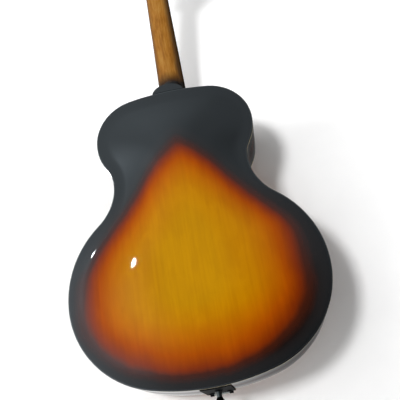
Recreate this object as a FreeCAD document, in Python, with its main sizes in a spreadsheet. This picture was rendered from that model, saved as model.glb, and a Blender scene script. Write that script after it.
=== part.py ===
"""Archtop guitar, built as an assembly of separate pieces, in millimetres.

Frame: the guitar hangs upright by its headstock. +Z runs up the body and the neck, the strings
face -Y, the back of the body faces +Y, and +X is to the right seen from the front, so that the
lowest string lies at -X. The origin is the middle of the nut, on the plane where the fretboard
is glued to the neck.

Two more frames are used. The neck frame is the main frame leaned back by neck_angle, and the
headstock frame is the neck frame leaned back by headstock_angle at the top of the nut.
The body outline is drawn with u across from the centre line and v down from the top of the body.
"""
import FreeCAD
import Part
import Sketcher
import math
import os

from FreeCAD import Placement, Rotation, Vector

SIZES = (
    # Body outline
    ("body_length", 508.0),
    ("upper_bout_width", 271.0),
    ("waist_inset", 22.0),
    ("lower_bout_width", 406.0),
    ("shoulder_radius", 440.0),
    ("tail_radius", 364.0),
    ("upper_bout_station", 83.0),
    ("waist_station", 161.0),
    ("lower_bout_rise", 156.0),
    ("upper_bout_share", 0.62),
    ("lower_bout_share", 0.64),
    # Body walls
    ("body_depth", 89.0),
    ("rib_thickness", 2.5),
    ("top_thickness", 5.0),
    ("back_thickness", 4.5),
    ("binding_width", 2.2),
    ("glue_gap", 0.05),
    # Carved arches
    ("top_arch", 15.0),
    ("back_arch", 17.0),
    ("edge_ledge", 9.0),
    ("arch_reach", 110.0),
    ("arch_blend", 30.0),
    ("recurve_depth", 0.8),
    ("recurve_station", 22.0),
    ("recurve_width", 7.0),
    ("carving_step", 8.0),
    # Inside of the body
    ("lining_width", 6.0),
    ("lining_height", 14.0),
    ("neck_block_width", 90.0),
    ("neck_block_length", 42.0),
    ("tail_block_width", 90.0),
    ("tail_block_length", 22.0),
    ("tone_bar_width", 7.0),
    ("tone_bar_height", 11.0),
    ("tone_bar_length", 350.0),
    ("tone_bar_spread", 84.0),
    ("tone_bar_slant", 4.0),
    # Sound holes
    ("sound_hole_offset", 90.0),
    ("sound_hole_stem", 100.0),
    ("sound_hole_slant", 9.0),
    ("sound_hole_slot", 4.6),
    ("sound_hole_waist", 9.5),
    ("sound_hole_hook", 8.5),
    ("sound_hole_upper_eye", 5.5),
    ("sound_hole_lower_eye", 7.0),
    # Neck
    ("scale_length", 628.65),
    ("joint_fret", 14.0),
    ("neck_angle", 4.0),
    ("nut_width", 43.0),
    ("joint_width", 54.0),
    ("neck_depth_at_nut", 15.0),
    ("neck_depth_at_joint", 18.0),
    ("neck_fullness", 0.85),
    ("fretboard_lift", 9.0),
    ("extension_thickness", 2.0),
    ("extension_inset", 2.0),
    ("heel_width", 56.0),
    ("heel_reach", 15.0),
    ("heel_sweep", 110.0),
    ("heel_curve", 3.2),
    ("heel_cap_thickness", 4.5),
    ("neck_root", 4.0),
    # Fretboard, frets and nut
    ("fretboard_thickness", 6.0),
    ("fretboard_radius", 305.0),
    ("fretboard_overhang", 5.0),
    ("fret_count", 20.0),
    ("fret_width", 2.3),
    ("fret_height", 1.1),
    ("fret_seat", 1.5),
    ("fret_inset", 0.5),
    ("marker_radius", 3.0),
    ("marker_depth", 1.5),
    ("double_marker_spread", 20.0),
    ("nut_thickness", 5.0),
    ("nut_crest", 1.0),
    # Headstock
    ("headstock_angle", 14.0),
    ("headstock_length", 172.0),
    ("headstock_crown", 10.0),
    ("headstock_throat", 34.0),
    ("headstock_lower_width", 72.0),
    ("headstock_upper_width", 78.0),
    ("headstock_corner", 7.0),
    ("headstock_thickness", 15.0),
    ("veneer_thickness", 1.5),
    # Truss rod
    ("truss_rod_diameter", 5.0),
    ("truss_rod_cover_depth", 3.5),
    ("truss_rod_gap", 0.3),
    ("truss_rod_end", 320.0),
    ("truss_nut_radius", 3.6),
    ("truss_nut_length", 8.0),
    ("truss_nut_start", 7.0),
    ("truss_pocket_width", 10.0),
    ("truss_pocket_length", 24.0),
    ("truss_cover_width", 22.0),
    ("truss_cover_length", 38.0),
    ("truss_cover_thickness", 2.0),
    ("small_screw_radius", 1.1),
    ("small_screw_head_radius", 2.2),
    ("small_screw_head", 0.9),
    ("small_screw_length", 9.0),
    ("small_screw_gap", 0.05),
    ("screw_head_bevel", 0.5),
    # Tuning machines
    ("tuner_first", 48.0),
    ("tuner_spacing", 42.0),
    ("tuner_offset", 24.0),
    ("post_radius", 3.1),
    ("post_rise", 16.0),
    ("post_hole_radius", 0.9),
    ("post_hole_depth", 3.0),
    ("post_pin_radius", 1.5),
    ("post_pin_length", 2.4),
    ("bushing_radius", 4.5),
    ("bushing_length", 9.0),
    ("bushing_flange_radius", 6.75),
    ("bushing_flange", 1.5),
    ("running_gap", 0.3),
    ("gear_teeth", 15.0),
    ("gear_pitch_radius", 6.0),
    ("gear_thickness", 3.0),
    ("gear_level", 3.6),
    ("tooth_addendum", 0.5),
    ("tooth_dedendum", 0.9),
    ("tooth_tip_width", 0.5),
    ("tooth_root_width", 1.0),
    ("worm_pitch_radius", 2.6),
    ("worm_core_radius", 1.9),
    ("worm_thread_radius", 0.6),
    ("worm_thread_center", 2.2),
    ("worm_turns", 3.0),
    ("worm_length", 9.6),
    ("worm_shaft_radius", 1.4),
    ("worm_tail", 3.0),
    ("housing_wall", 2.0),
    ("housing_collar_radius", 3.4),
    ("housing_collar_length", 4.0),
    ("button_length", 16.0),
    ("button_height", 20.0),
    ("button_depth", 9.0),
    ("button_collar_radius", 3.2),
    ("button_collar_length", 4.0),
    ("button_grip", 11.0),
    # Strings
    ("string_1_gauge", 0.33),
    ("string_2_gauge", 0.43),
    ("string_3_gauge", 0.61),
    ("string_4_gauge", 0.81),
    ("string_5_gauge", 1.07),
    ("string_6_gauge", 1.32),
    ("nut_string_spread", 36.0),
    ("bridge_string_spread", 52.0),
    ("tail_string_spread", 50.0),
    ("nut_action", 0.3),
    ("bridge_action", 4.1),
    ("string_gap", 0.08),
    ("string_bend_radius", 6.0),
    ("string_turns", 3.0),
    ("winding_gap", 0.5),
    ("winding_level", 5.0),
    ("ball_radius", 2.0),
    # Bridge
    ("bridge_base_length", 140.0),
    ("bridge_base_width", 12.0),
    ("bridge_base_height", 9.0),
    ("bridge_relief_length", 56.0),
    ("bridge_relief_height", 3.0),
    ("bridge_post_spread", 68.0),
    ("bridge_post_radius", 2.0),
    ("bridge_post_depth", 6.0),
    ("bridge_post_length", 16.0),
    ("bridge_saddle_hole", 7.0),
    ("thumbwheel_radius", 8.0),
    ("thumbwheel_thickness", 3.0),
    ("thumbwheel_notches", 24.0),
    ("thumbwheel_notch_radius", 0.6),
    ("thumbwheel_rise", 2.4),
    ("bridge_saddle_length", 122.0),
    ("bridge_saddle_width", 9.0),
    ("bridge_saddle_crest", 0.6),
    # Tailpiece
    ("bracket_width", 45.0),
    ("bracket_thickness", 1.6),
    ("bracket_depth", 83.0),
    ("hinge_standoff", 6.5),
    ("hinge_pin_radius", 1.6),
    ("hinge_barrel_radius", 3.4),
    ("hinge_barrel_length", 24.0),
    ("hinge_ear_length", 6.0),
    ("hinge_fit", 0.08),
    ("tailpiece_length", 104.0),
    ("tailpiece_clearance", 1.5),
    ("tailpiece_bar_radius", 4.5),
    ("tailpiece_bar_length", 76.0),
    ("tailpiece_rod_radius", 2.3),
    ("tailpiece_rod_spread", 16.0),
    ("tailpiece_hole_radius", 1.1),
    ("bracket_screw_spread", 28.0),
    ("bracket_screw_first", 16.0),
    ("bracket_screw_last", 56.0),
    ("bracket_screw_radius", 1.7),
    ("bracket_screw_head_radius", 3.6),
    ("bracket_screw_head", 1.6),
    ("bracket_screw_length", 16.0),
    # Strap button
    ("strap_button_station", 40.0),
    ("strap_button_length", 17.0),
    ("strap_button_head_radius", 7.0),
    ("strap_button_waist_radius", 4.0),
    ("strap_button_foot_radius", 6.0),
    ("strap_button_lip", 2.5),
    ("strap_screw_radius", 1.9),
    ("strap_screw_head_radius", 3.2),
    ("strap_screw_head", 1.2),
    ("strap_screw_bite", 16.0),
    # Pickguard
    ("pickguard_thickness", 3.0),
    ("pickguard_level", 0.5),
    ("pickguard_gap", 0.3),
    ("pickguard_top", 392.0),
    ("pickguard_bottom", 606.0),
    ("pickguard_shoulder_width", 24.0),
    ("pickguard_belly_width", 60.0),
    ("pickguard_belly_station", 500.0),
    ("pickguard_tail_width", 20.0),
    ("pickguard_corner", 20.0),
    ("pickguard_bracket_width", 8.0),
    ("pickguard_bracket_thickness", 1.5),
    ("pickguard_bracket_leg", 18.0),
    ("pickguard_bracket_lap", 40.0),
    ("pickguard_bracket_gap", 0.3),
    ("pickguard_screw_length", 5.5),
)

doc = FreeCAD.newDocument("archtop_guitar")
sheet = doc.addObject("Spreadsheet::Sheet", "Sizes")
for row, (alias, value) in enumerate(SIZES, 1):
    sheet.set(f"A{row}", alias)
    sheet.set(f"B{row}", str(value))
    sheet.setAlias(f"B{row}", alias)
doc.recompute()


class Sizes:
    """Gives each cell of the sheet as an attribute."""

    def __getattr__(self, alias):
        return float(sheet.get(alias))


size = Sizes()
nodes = []
X_AXIS = Vector(1, 0, 0)
Y_AXIS = Vector(0, 1, 0)
Z_AXIS = Vector(0, 0, 1)
ALONG_X = Rotation(Z_AXIS, X_AXIS)
ALONG_Y = Rotation(Z_AXIS, Y_AXIS)
UPRIGHT = Rotation()


# Frames and stations

FRETS_PER_OCTAVE = 12


def fret_station(fret):
    """Distance of a fret from the nut: each fret leaves 2 to the power of -1/12 of the string."""
    return size.scale_length * (1 - 2 ** (-fret / FRETS_PER_OCTAVE))


neck_frame = Placement(Vector(0, 0, 0), Rotation(X_AXIS, -size.neck_angle))
headstock_frame = neck_frame.multiply(
    Placement(Vector(0, 0, size.nut_thickness), Rotation(X_AXIS, -size.headstock_angle)))
joint_station = fret_station(size.joint_fret)
joint_point = neck_frame.multVec(Vector(0, 0, -joint_station))
body_top = joint_point.z
body_bottom = body_top - size.body_length
front_level = joint_point.y + size.fretboard_lift
back_level = front_level + size.body_depth
top_inside = front_level + size.top_thickness
back_inside = back_level - size.back_thickness
BIG = 4 * size.body_depth


def neck_half_width(station):
    """Half width of neck and fretboard, growing evenly from the nut to the body joint."""
    return (size.nut_width + (size.joint_width - size.nut_width) * station / joint_station) / 2


# Helpers

def node(item, label):
    """Takes an object of the document as a sub-part under its own label."""
    item.Label = label
    nodes.append(item)
    return item


def feature(label, shape, frame=None):
    """Makes a sub-part from a shape; a shape drawn in a local frame is placed by that frame."""
    item = doc.addObject("Part::Feature", label)
    item.Shape = shape
    if frame:
        item.Placement = frame
    return node(item, label)


def primitive(kind, name, frame, **expressions):
    """Makes a primitive whose sizes are bound to the sheet."""
    item = doc.addObject("Part::" + kind, name)
    for prop, expression in expressions.items():
        item.setExpression(prop, expression)
    item.Placement = frame
    return item


def cut(name, base, *tools):
    item = doc.addObject("Part::Cut", name)
    item.Base = base
    item.Tool = tools[0] if len(tools) == 1 else group(name + "_tools", *tools)
    return item


def group(name, *items):
    item = doc.addObject("Part::Compound", name)
    item.Links = list(items)
    return item


def fuse(name, *items):
    item = doc.addObject("Part::MultiFuse", name)
    item.Shapes = list(items)
    return item


def at(frame, x, y, z, turn=UPRIGHT):
    """A placement at a point of a frame."""
    return frame.multiply(Placement(Vector(x, y, z), turn))


WORLD = Placement()


def new_body(name, frame):
    item = doc.addObject("PartDesign::Body", name)
    item.Placement = frame
    return item


def profile(item, name, role, points):
    """Closed sketch on an origin plane; each corner is a pair of expressions bound to the sheet."""
    plane = [part for part in item.Origin.OriginFeatures if part.Role == role][0]
    sketch = item.newObject("Sketcher::SketchObject", name)
    sketch.AttachmentSupport = (plane, [""])
    sketch.MapMode = "FlatFace"
    corners = [Vector(*(float(sheet.evalExpression(text)) for text in pair), 0) for pair in points]
    count = len(corners)
    for index in range(count):
        sketch.addGeometry(Part.LineSegment(corners[index], corners[(index + 1) % count]))
    for index in range(count):
        sketch.addConstraint(Sketcher.Constraint("Coincident", index, 2, (index + 1) % count, 1))
    for index, pair in enumerate(points):
        for text, kind, axis, place in zip(pair, ("DistanceX", "DistanceY"), (-2, -1), corners[index]):
            if text == "0":
                sketch.addConstraint(Sketcher.Constraint("PointOnObject", index, 1, axis))
            else:
                number = sketch.addConstraint(Sketcher.Constraint(kind, -1, 1, index, 1, place))
                sketch.setExpression(f"Constraints[{number}]", text)
    return sketch


def revolved(name, frame, points):
    """Body turned about the Z axis of its frame from a profile of (radius, height) corners."""
    item = new_body(name, frame)
    sketch = profile(item, name + "_profile", "XZ_Plane", points)
    turn = item.newObject("PartDesign::Revolution", name + "_turn")
    turn.Profile = sketch
    turn.ReferenceAxis = (sketch, ["V_Axis"])
    turn.Angle = 360
    return item


def positive(solid):
    """Turns a solid the right way out."""
    if solid.Volume < 0:
        solid.reverse()
    return solid


def prism(points, direction):
    """Solid from a closed polygon carried along a direction."""
    return positive(Part.Face(Part.makePolygon(points + points[:1])).extrude(direction))


def arc_between(start, corner, end):
    """Arc that leaves start and reaches end, with both tangents meeting at corner."""
    middle = (start + end) * 0.5
    half = (end - start).Length / 2
    rise = (corner - middle).Length
    if rise < 1e-7 * half:
        return Part.LineSegment(start, end).toShape()
    sag = half * math.tan(math.atan2(rise, half) / 2)
    top = middle + (corner - middle).normalize() * sag
    return Part.Arc(start, top, end).toShape()


def biarc(start, leaving, end, arriving):
    """Two arcs from one point and direction to another point and direction."""
    span = end - start
    both = leaving + arriving
    spread = 2 * (1 - leaving.dot(arriving))
    reach = span.dot(both)
    if spread < 1e-9:
        length = span.dot(span) / (2 * reach)
    else:
        length = (-reach + math.sqrt(reach ** 2 + spread * span.dot(span))) / spread
    first = start + leaving * length
    last = end - arriving * length
    meeting = (first + last) * 0.5
    return [arc_between(start, first, meeting), arc_between(meeting, last, end)]


def tube(edges, radius):
    """Round tube along a path of lines and arcs."""
    path = Part.Wire(edges)
    start = edges[0].valueAt(edges[0].FirstParameter)
    heading = edges[0].tangentAt(edges[0].FirstParameter)
    ring = Part.Wire([Part.makeCircle(radius, start, heading)])
    return positive(path.makePipeShell([ring], True, False))


# Body outline

def towards(start, end):
    """Unit vector from one point to another."""
    return (end - start).normalize()


waist_width = size.upper_bout_width - 2 * size.waist_inset
OUT = Vector(1, 0, 0)
IN = Vector(-1, 0, 0)
UP = Vector(0, -1, 0)
DOWN = Vector(0, 1, 0)


def end_bout_radius(end_radius, rise, width):
    """Radius of the bout arc that runs from the widest place into an end arc on the centre line."""
    return (2 * end_radius * rise - rise ** 2 - width ** 2 / 4) / (2 * end_radius - width)


def waist_pair(width, bout_station, share):
    """Bout arc and waist arc that touch between the widest and the narrowest place.

    Both places are upright, so the sum of the two radii is fixed, and the share divides it.
    """
    aside = (width - waist_width) / 2
    along = size.waist_station - bout_station
    total = (aside ** 2 + along ** 2) / (2 * aside)
    bout = Vector(width / 2 - total * share, bout_station, 0)
    waist = Vector(waist_width / 2 + total * (1 - share), size.waist_station, 0)
    return bout, total * share, waist, total * (1 - share)


def outline_arcs():
    """Arcs of the right half of the outline, neck to tail: centre, radius, bulge and end directions.

    Shoulder and tail arcs are centred on the centre line. The outline is upright at the widest place
    of each bout and at the waist, where arcs of two radii meet.
    """
    lower_station = size.body_length - size.lower_bout_rise
    upper_radius = end_bout_radius(size.shoulder_radius, size.upper_bout_station, size.upper_bout_width)
    lower_radius = end_bout_radius(size.tail_radius, size.lower_bout_rise, size.lower_bout_width)
    shoulder = Vector(0, size.shoulder_radius, 0)
    tail = Vector(0, size.body_length - size.tail_radius, 0)
    upper = Vector(size.upper_bout_width / 2 - upper_radius, size.upper_bout_station, 0)
    lower = Vector(size.lower_bout_width / 2 - lower_radius, lower_station, 0)
    high_bout, high_radius, high_waist, high_waist_radius = waist_pair(
        size.upper_bout_width, size.upper_bout_station, size.upper_bout_share)
    low_bout, low_radius, low_waist, low_waist_radius = waist_pair(
        size.lower_bout_width, lower_station, size.lower_bout_share)
    return (
        (shoulder, size.shoulder_radius, 1, UP, towards(shoulder, upper)),
        (upper, upper_radius, 1, towards(shoulder, upper), OUT),
        (high_bout, high_radius, 1, OUT, towards(high_bout, high_waist)),
        (high_waist, high_waist_radius, -1, towards(high_waist, high_bout), IN),
        (low_waist, low_waist_radius, -1, IN, towards(low_waist, low_bout)),
        (low_bout, low_radius, 1, towards(low_bout, low_waist), OUT),
        (lower, lower_radius, 1, OUT, towards(tail, lower)),
        (tail, size.tail_radius, 1, towards(tail, lower), DOWN),
    )


ARCS = outline_arcs()
TAIL_CENTER = ARCS[-1][0]


def outline_wire(inset, level):
    """Closed outline of the body at one level, moved inwards by an inset."""
    def place(point, side):
        return Vector(side * point.x, level, body_top - point.y)

    edges = []
    for side, arcs in ((1, ARCS), (-1, ARCS[::-1])):
        for center, radius, bulge, first, last in arcs:
            reach = radius - bulge * inset
            ends = [center + first * reach, center + (first + last).normalize() * reach,
                    center + last * reach]
            edges.append(Part.Arc(*(place(point, side) for point in ends[::side])).toShape())
    return Part.Wire(edges)


def body_prism(inset, start, end):
    """Body outline carried from one level to another."""
    return positive(Part.Face(outline_wire(inset, start)).extrude(Vector(0, end - start, 0)))


def body_ring(outer, inner, start, end):
    """Band along the outline, between two insets."""
    return body_prism(outer, start, end).cut(body_prism(inner, start - 1, end + 1))


def edge_distance(across, down):
    """How far a point lies inside the outline; negative outside."""
    point = Vector(abs(across), down, 0)
    best = size.body_length
    for center, radius, bulge, first, last in ARCS:
        middle = (first + last).normalize()
        ray = point - center
        if ray.Length > 0 and ray.normalize().dot(middle) >= first.dot(middle) - 1e-9:
            inside = bulge * (radius - (point - center).Length)
            if abs(inside) < abs(best):
                best = inside
    return best


# Carved plates

string_crest = neck_frame.multVec(Vector(
    0, -(size.fretboard_thickness + size.fret_height + size.bridge_action), -size.scale_length))
bridge_height = string_crest.z
bridge_station = body_top - bridge_height


RIM_POINTS_PER_STEP = 3
CARVING_MARGIN = 3


def rim_points():
    """Points along the whole outline, with the length of rim that each stands for."""
    points = []
    for center, radius, _, first, last in ARCS:
        sweep = math.acos(min(first.dot(last), 1))
        count = math.ceil(sweep * radius / size.carving_step * RIM_POINTS_PER_STEP)
        begin = math.atan2(first.y, first.x)
        turn = math.copysign(sweep, first.cross(last).z)
        for index in range(count):
            angle = begin + turn * (index + 0.5) / count
            place = center + Vector(math.cos(angle), math.sin(angle), 0) * radius
            points += [(side * place.x, place.y, sweep * radius / count) for side in (-1, 1)]
    return points


RIM = rim_points()


def depth_inside(across, down):
    """Distance from the rim that grows smoothly towards the middle of each bout.

    Near the rim it is the plain distance. Further in, it is the distance at which a straight rim
    would give the same sum of the inverse fourth powers of the distances to all points of the rim.
    """
    near = edge_distance(across, down)
    share = min(max((near - size.edge_ledge) / size.arch_blend, 0), 1)
    if share == 0:
        return near
    total = sum(length / ((across - u) ** 2 + (down - v) ** 2) ** 2 for u, v, length in RIM)
    far = (2 / math.pi * total) ** (-1 / 3)
    return near + (far - near) * share ** 2 * (3 - 2 * share)


def arch_height(across, down, arch):
    """Height of the carving over the edge: a flat ledge, a shallow groove, then a round swell."""
    inside = depth_inside(across, down)
    share = min(max((inside - size.edge_ledge) / (size.arch_reach - size.edge_ledge), 0), 1)
    groove = math.exp(-((inside - size.recurve_station) / size.recurve_width) ** 2)
    return arch * math.sin(math.pi / 2 * share) ** 2 - size.recurve_depth * groove


def stations(low, high):
    """Evenly spaced values about one carving step apart."""
    count = math.ceil((high - low) / size.carving_step)
    return [low + (high - low) * index / count for index in range(count + 1)]


def carved_face(level, facing, arch):
    """Smooth carved surface through a grid of arch heights."""
    margin = CARVING_MARGIN * size.carving_step
    half = size.lower_bout_width / 2 + margin
    grid = [[Vector(u, level + facing * arch_height(u, v, arch), body_top - v)
             for v in stations(-margin, size.body_length + margin)]
            for u in stations(-half, half)]
    surface = Part.BSplineSurface()
    surface.interpolate(grid)
    return surface.toShape()


def raised(face, shift, depth):
    """Solid between a carved face moved along Y and its copy further along Y."""
    moved = face.translated(Vector(0, shift, 0))
    return positive(moved.extrude(Vector(0, depth, 0)))


top_face = carved_face(front_level, -1, size.top_arch)
back_face = carved_face(back_level, 1, size.back_arch)
under_top = raised(top_face, size.top_thickness + size.glue_gap, BIG)
under_back = raised(back_face, -size.back_thickness - size.glue_gap, -BIG)


def cylinder(radius, start, direction, length):
    return Part.makeCylinder(radius, length, start, direction)


def box(low, high):
    """Box between two corners."""
    extent = high - low
    return Part.makeBox(extent.x, extent.y, extent.z, low)


def sound_hole(side):
    """Cutting tool of one f-shaped sound hole: slanted stem, a hook at each end and two round eyes."""
    start = front_level - 2 * size.top_arch
    depth = Vector(0, 3 * size.top_arch, 0)
    lean = math.tan(math.radians(size.sound_hole_slant)) * size.sound_hole_stem / 2

    def place(out, up):
        return Vector(side * (size.sound_hole_offset + out), start, bridge_height + up)

    half = size.sound_hole_slot / 2
    rise = size.sound_hole_stem / 2
    waist = size.sound_hole_waist / 2
    tool = prism([place(-lean - half, rise), place(-lean + half, rise), place(waist, 0),
                  place(lean + half, -rise), place(lean - half, -rise), place(-waist, 0)], depth)
    hook = size.sound_hole_hook
    for sign, eye in ((1, size.sound_hole_upper_eye), (-1, size.sound_hole_lower_eye)):
        center = place(-sign * (lean + hook), sign * rise)
        ring = cylinder(hook + half, center, Y_AXIS, depth.y).cut(
            cylinder(hook - half, center, Y_AXIS, depth.y))
        reach = Vector(hook + size.sound_hole_slot, 0, 0)
        bend = ring.common(box(center - reach, center + reach + depth + Vector(0, 0, 2 * hook))
                           if sign > 0 else
                           box(center - reach - Vector(0, 0, 2 * hook), center + reach + depth))
        end = cylinder(eye, place(-sign * (lean + 2 * hook), sign * rise), Y_AXIS, depth.y)
        tool = tool.fuse(bend).fuse(end)
    return tool


top_plate = raised(top_face, 0, size.top_thickness).common(
    body_prism(size.binding_width + size.glue_gap, front_level - BIG, front_level + BIG))
for side in (-1, 1):
    top_plate = top_plate.cut(sound_hole(side))
back_plate = raised(back_face, -size.back_thickness, size.back_thickness).common(
    body_prism(size.binding_width + size.glue_gap, back_level - BIG, back_level + BIG))
feature("top_plate", top_plate)
feature("back_plate", back_plate)
feature("top_binding", body_ring(0, size.binding_width, front_level, top_inside))
feature("back_binding", body_ring(0, size.binding_width, back_inside, back_level))


# Tailpiece and strap button places

hinge_point = Vector(0, front_level - size.hinge_standoff, body_bottom - size.bracket_thickness / 2)
strap_point = Vector(0, front_level + size.strap_button_station, body_bottom)


def rim_height(across):
    """Height of the end rim at a distance from the centre line."""
    return body_top - TAIL_CENTER.y - math.sqrt(size.tail_radius ** 2 - across ** 2)


def bracket_screw_points():
    """Places of the bracket screws, on the outer face of the bracket under each screw head."""
    half = size.bracket_screw_spread / 2
    places = []
    for across, depth in ((-half, size.bracket_screw_first), (half, size.bracket_screw_first),
                          (0, size.bracket_screw_last)):
        nearest = max(abs(across) - size.bracket_screw_head_radius, 0)
        level = rim_height(nearest) - size.bracket_thickness - size.glue_gap
        places.append(Vector(across, front_level + depth, level))
    return places


def end_holes(gap):
    """Drill for the bracket screws and the strap button screw through the end of the body."""
    drills = [cylinder(size.bracket_screw_radius + gap, place, Z_AXIS, size.bracket_screw_length + gap)
              for place in bracket_screw_points()]
    reach = size.strap_screw_bite + size.bracket_thickness + gap
    start = strap_point - Z_AXIS * size.bracket_thickness * 2
    drills.append(cylinder(size.strap_screw_radius + gap, start, Z_AXIS, reach))
    return drills


# Pickguard places, in the neck frame

guard_station = -neck_frame.inverse().multVec(Vector(0, joint_point.y, body_top - size.waist_station)).z
rib_side = waist_width / 2 + size.pickguard_bracket_gap
leg_end = neck_frame.inverse().multVec(
    Vector(0, front_level + size.pickguard_bracket_leg, body_top - size.waist_station)).y
rib_screw_point = neck_frame.multVec(Vector(
    rib_side + size.pickguard_bracket_thickness,
    leg_end - size.pickguard_bracket_width, -guard_station))


def rib_screw_drill(gap):
    """Drill for the screw that holds the pickguard bracket to the treble rib."""
    return cylinder(size.small_screw_radius + gap, rib_screw_point, -X_AXIS, size.small_screw_length + gap)


# Ribs, linings, blocks and tone bars

rib_ring = body_ring(0, size.rib_thickness, top_inside + size.glue_gap, back_inside - size.glue_gap)
for label, side in (("bass_rib", -1), ("treble_rib", 1)):
    reach = size.lower_bout_width
    corner = Vector(min(0, side * reach), top_inside - BIG, body_bottom - reach)
    half_space = box(corner, Vector(max(0, side * reach), back_inside + BIG, body_top + reach))
    drills = end_holes(size.glue_gap) + [rib_screw_drill(size.glue_gap)]
    feature(label, rib_ring.common(half_space).cut(drills))

inner_skin = size.rib_thickness + size.glue_gap
cavity = body_prism(inner_skin, front_level - BIG, back_level + BIG)


def end_block(width, top, bottom):
    """Block between top and back, shaped to the ribs and to both carved plates."""
    blank = box(Vector(-width / 2, front_level - BIG, bottom), Vector(width / 2, back_level + BIG, top))
    return blank, blank.common(cavity).common(under_top).common(under_back)


neck_blank, neck_block = end_block(
    size.neck_block_width + 2 * size.glue_gap, body_top + 1, body_top - size.neck_block_length)
tail_blank, tail_block = end_block(
    size.tail_block_width + 2 * size.glue_gap, body_bottom + size.tail_block_length, body_bottom - 1)
feature("neck_block", neck_block)
feature("tail_block", tail_block.cut(end_holes(size.glue_gap)))

linings = []
for start, end in ((top_inside + size.glue_gap, top_inside + size.lining_height),
                   (back_inside - size.lining_height, back_inside - size.glue_gap)):
    band = body_ring(inner_skin, inner_skin + size.lining_width, start, end)
    linings.extend(band.cut([neck_blank, tail_blank, rib_screw_drill(size.glue_gap)]).Solids)
feature("linings", Part.makeCompound(linings))

bar_slab = raised(top_face, size.top_thickness + size.glue_gap, size.tone_bar_height)
tone_bars = []
for side in (-1, 1):
    blank = Part.makeBox(size.tone_bar_width, BIG, size.tone_bar_length,
                         Vector(-size.tone_bar_width / 2, -BIG / 2, -size.tone_bar_length / 2))
    blank.Placement = Placement(Vector(side * size.tone_bar_spread / 2, front_level, bridge_height),
                                Rotation(Y_AXIS, -side * size.tone_bar_slant))
    tone_bars.append(blank.common(bar_slab))
feature("tone_bars", Part.makeCompound(tone_bars))


# Neck, heel and headstock

def smooth_section(points):
    """Closed section: a smooth curve through the points and a straight line back to the first."""
    curve = Part.BSplineCurve()
    curve.interpolate(points)
    return Part.Wire([curve.toShape(), Part.LineSegment(points[-1], points[0]).toShape()])


SECTION_STEPS = 16
HEEL_STEPS = 6
HALF_TURN = [math.pi * index / SECTION_STEPS for index in range(SECTION_STEPS + 1)]


def shaft_section(station):
    """Rounded back of the neck at a distance from the nut, flat under the fretboard."""
    share = station / joint_station
    depth = size.neck_depth_at_nut + (size.neck_depth_at_joint - size.neck_depth_at_nut) * share
    half = neck_half_width(station)
    return smooth_section([
        neck_frame.multVec(Vector(half * math.cos(turn),
                                  depth * max(math.sin(turn), 0) ** size.neck_fullness, -station))
        for turn in HALF_TURN])


heel_start = joint_point.y + size.neck_depth_at_joint / 2
heel_end = back_level - size.heel_cap_thickness - size.glue_gap


def heel_outline(reach, half, level):
    """Half oval standing out of the end of the body, closed inside the body."""
    root = body_top - size.neck_root
    return smooth_section([Vector(half * math.cos(turn), level,
                                  root + (reach + size.neck_root) * math.sin(turn))
                           for turn in HALF_TURN])


def heel_section(share):
    """Outline of the heel at a share of its depth: long under the neck, short at the cap."""
    reach = size.heel_reach + size.heel_sweep * (1 - share) ** size.heel_curve
    half = (size.joint_width + (size.heel_width - size.joint_width) * share) / 2
    return heel_outline(reach, half, heel_start + (heel_end - heel_start) * share)


def headstock_outline(level):
    """Outline of the headstock: a curved throat, long sides that flare a little, a low crowned top."""
    def place(across, up):
        return Vector(across, level, up)

    def curve(*poles):
        bend = Part.BezierCurve()
        bend.setPoles(list(poles))
        return bend.toShape()

    low = size.headstock_lower_width / 2
    high = size.headstock_upper_width / 2
    throat = size.headstock_throat
    side_end = size.headstock_length - size.headstock_corner
    edges = []
    for side in (1, -1):
        run = [
            curve(place(side * size.nut_width / 2, 0), place(side * size.nut_width / 2, throat / 2),
                  place(side * low, throat / 2), place(side * low, throat)),
            Part.LineSegment(place(side * low, throat), place(side * high, side_end)).toShape(),
            curve(place(side * high, side_end), place(side * high, size.headstock_length),
                  place(side * (high - size.headstock_corner), size.headstock_length)),
        ]
        edges.append(run)
    top_end = high - size.headstock_corner
    crown = Part.Arc(place(top_end, size.headstock_length),
                     place(0, size.headstock_length + size.headstock_crown),
                     place(-top_end, size.headstock_length)).toShape()
    foot = Part.LineSegment(place(-size.nut_width / 2, 0), place(size.nut_width / 2, 0)).toShape()
    return Part.Wire(edges[0] + [crown] + edges[1][::-1] + [foot])


def headstock_plate(start, thickness):
    """Plate with the outline of the headstock."""
    return positive(Part.Face(headstock_outline(start)).extrude(Vector(0, thickness, 0)))


TUNERS_PER_SIDE = 3


def tuner_places():
    """Side, height and string number of each tuning machine; the outer strings use the lowest ones."""
    for row in range(TUNERS_PER_SIDE):
        up = size.tuner_first + row * size.tuner_spacing
        yield -1, up, 2 * TUNERS_PER_SIDE - row
        yield 1, up, 1 + row


def tuner_drills():
    """Drill for the bushings, right through the headstock and its veneer."""
    reach = size.headstock_thickness + 2 * size.veneer_thickness
    return [cylinder(size.bushing_radius + size.glue_gap,
                     Vector(side * size.tuner_offset, -2 * size.veneer_thickness, up), Y_AXIS,
                     reach + size.veneer_thickness)
            for side, up, _ in tuner_places()]


def cover_screw_points():
    """Places of the truss rod cover screws on the front of the cover."""
    inset = 2 * size.small_screw_head_radius
    level = -size.veneer_thickness - size.truss_cover_thickness
    return [Vector(0, level, size.veneer_thickness + size.truss_cover_length - inset),
            Vector(-size.truss_cover_width / 2 + inset, level, size.veneer_thickness + inset),
            Vector(size.truss_cover_width / 2 - inset, level, size.veneer_thickness + inset)]


def cover_screw_drills():
    return [cylinder(size.small_screw_radius + size.small_screw_gap, place, Y_AXIS,
                     size.small_screw_length + size.small_screw_gap)
            for place in cover_screw_points()]


def framed(shape, frame):
    """A shape of a local frame, seen in the main frame."""
    return shape.transformed(frame.toMatrix())


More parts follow.
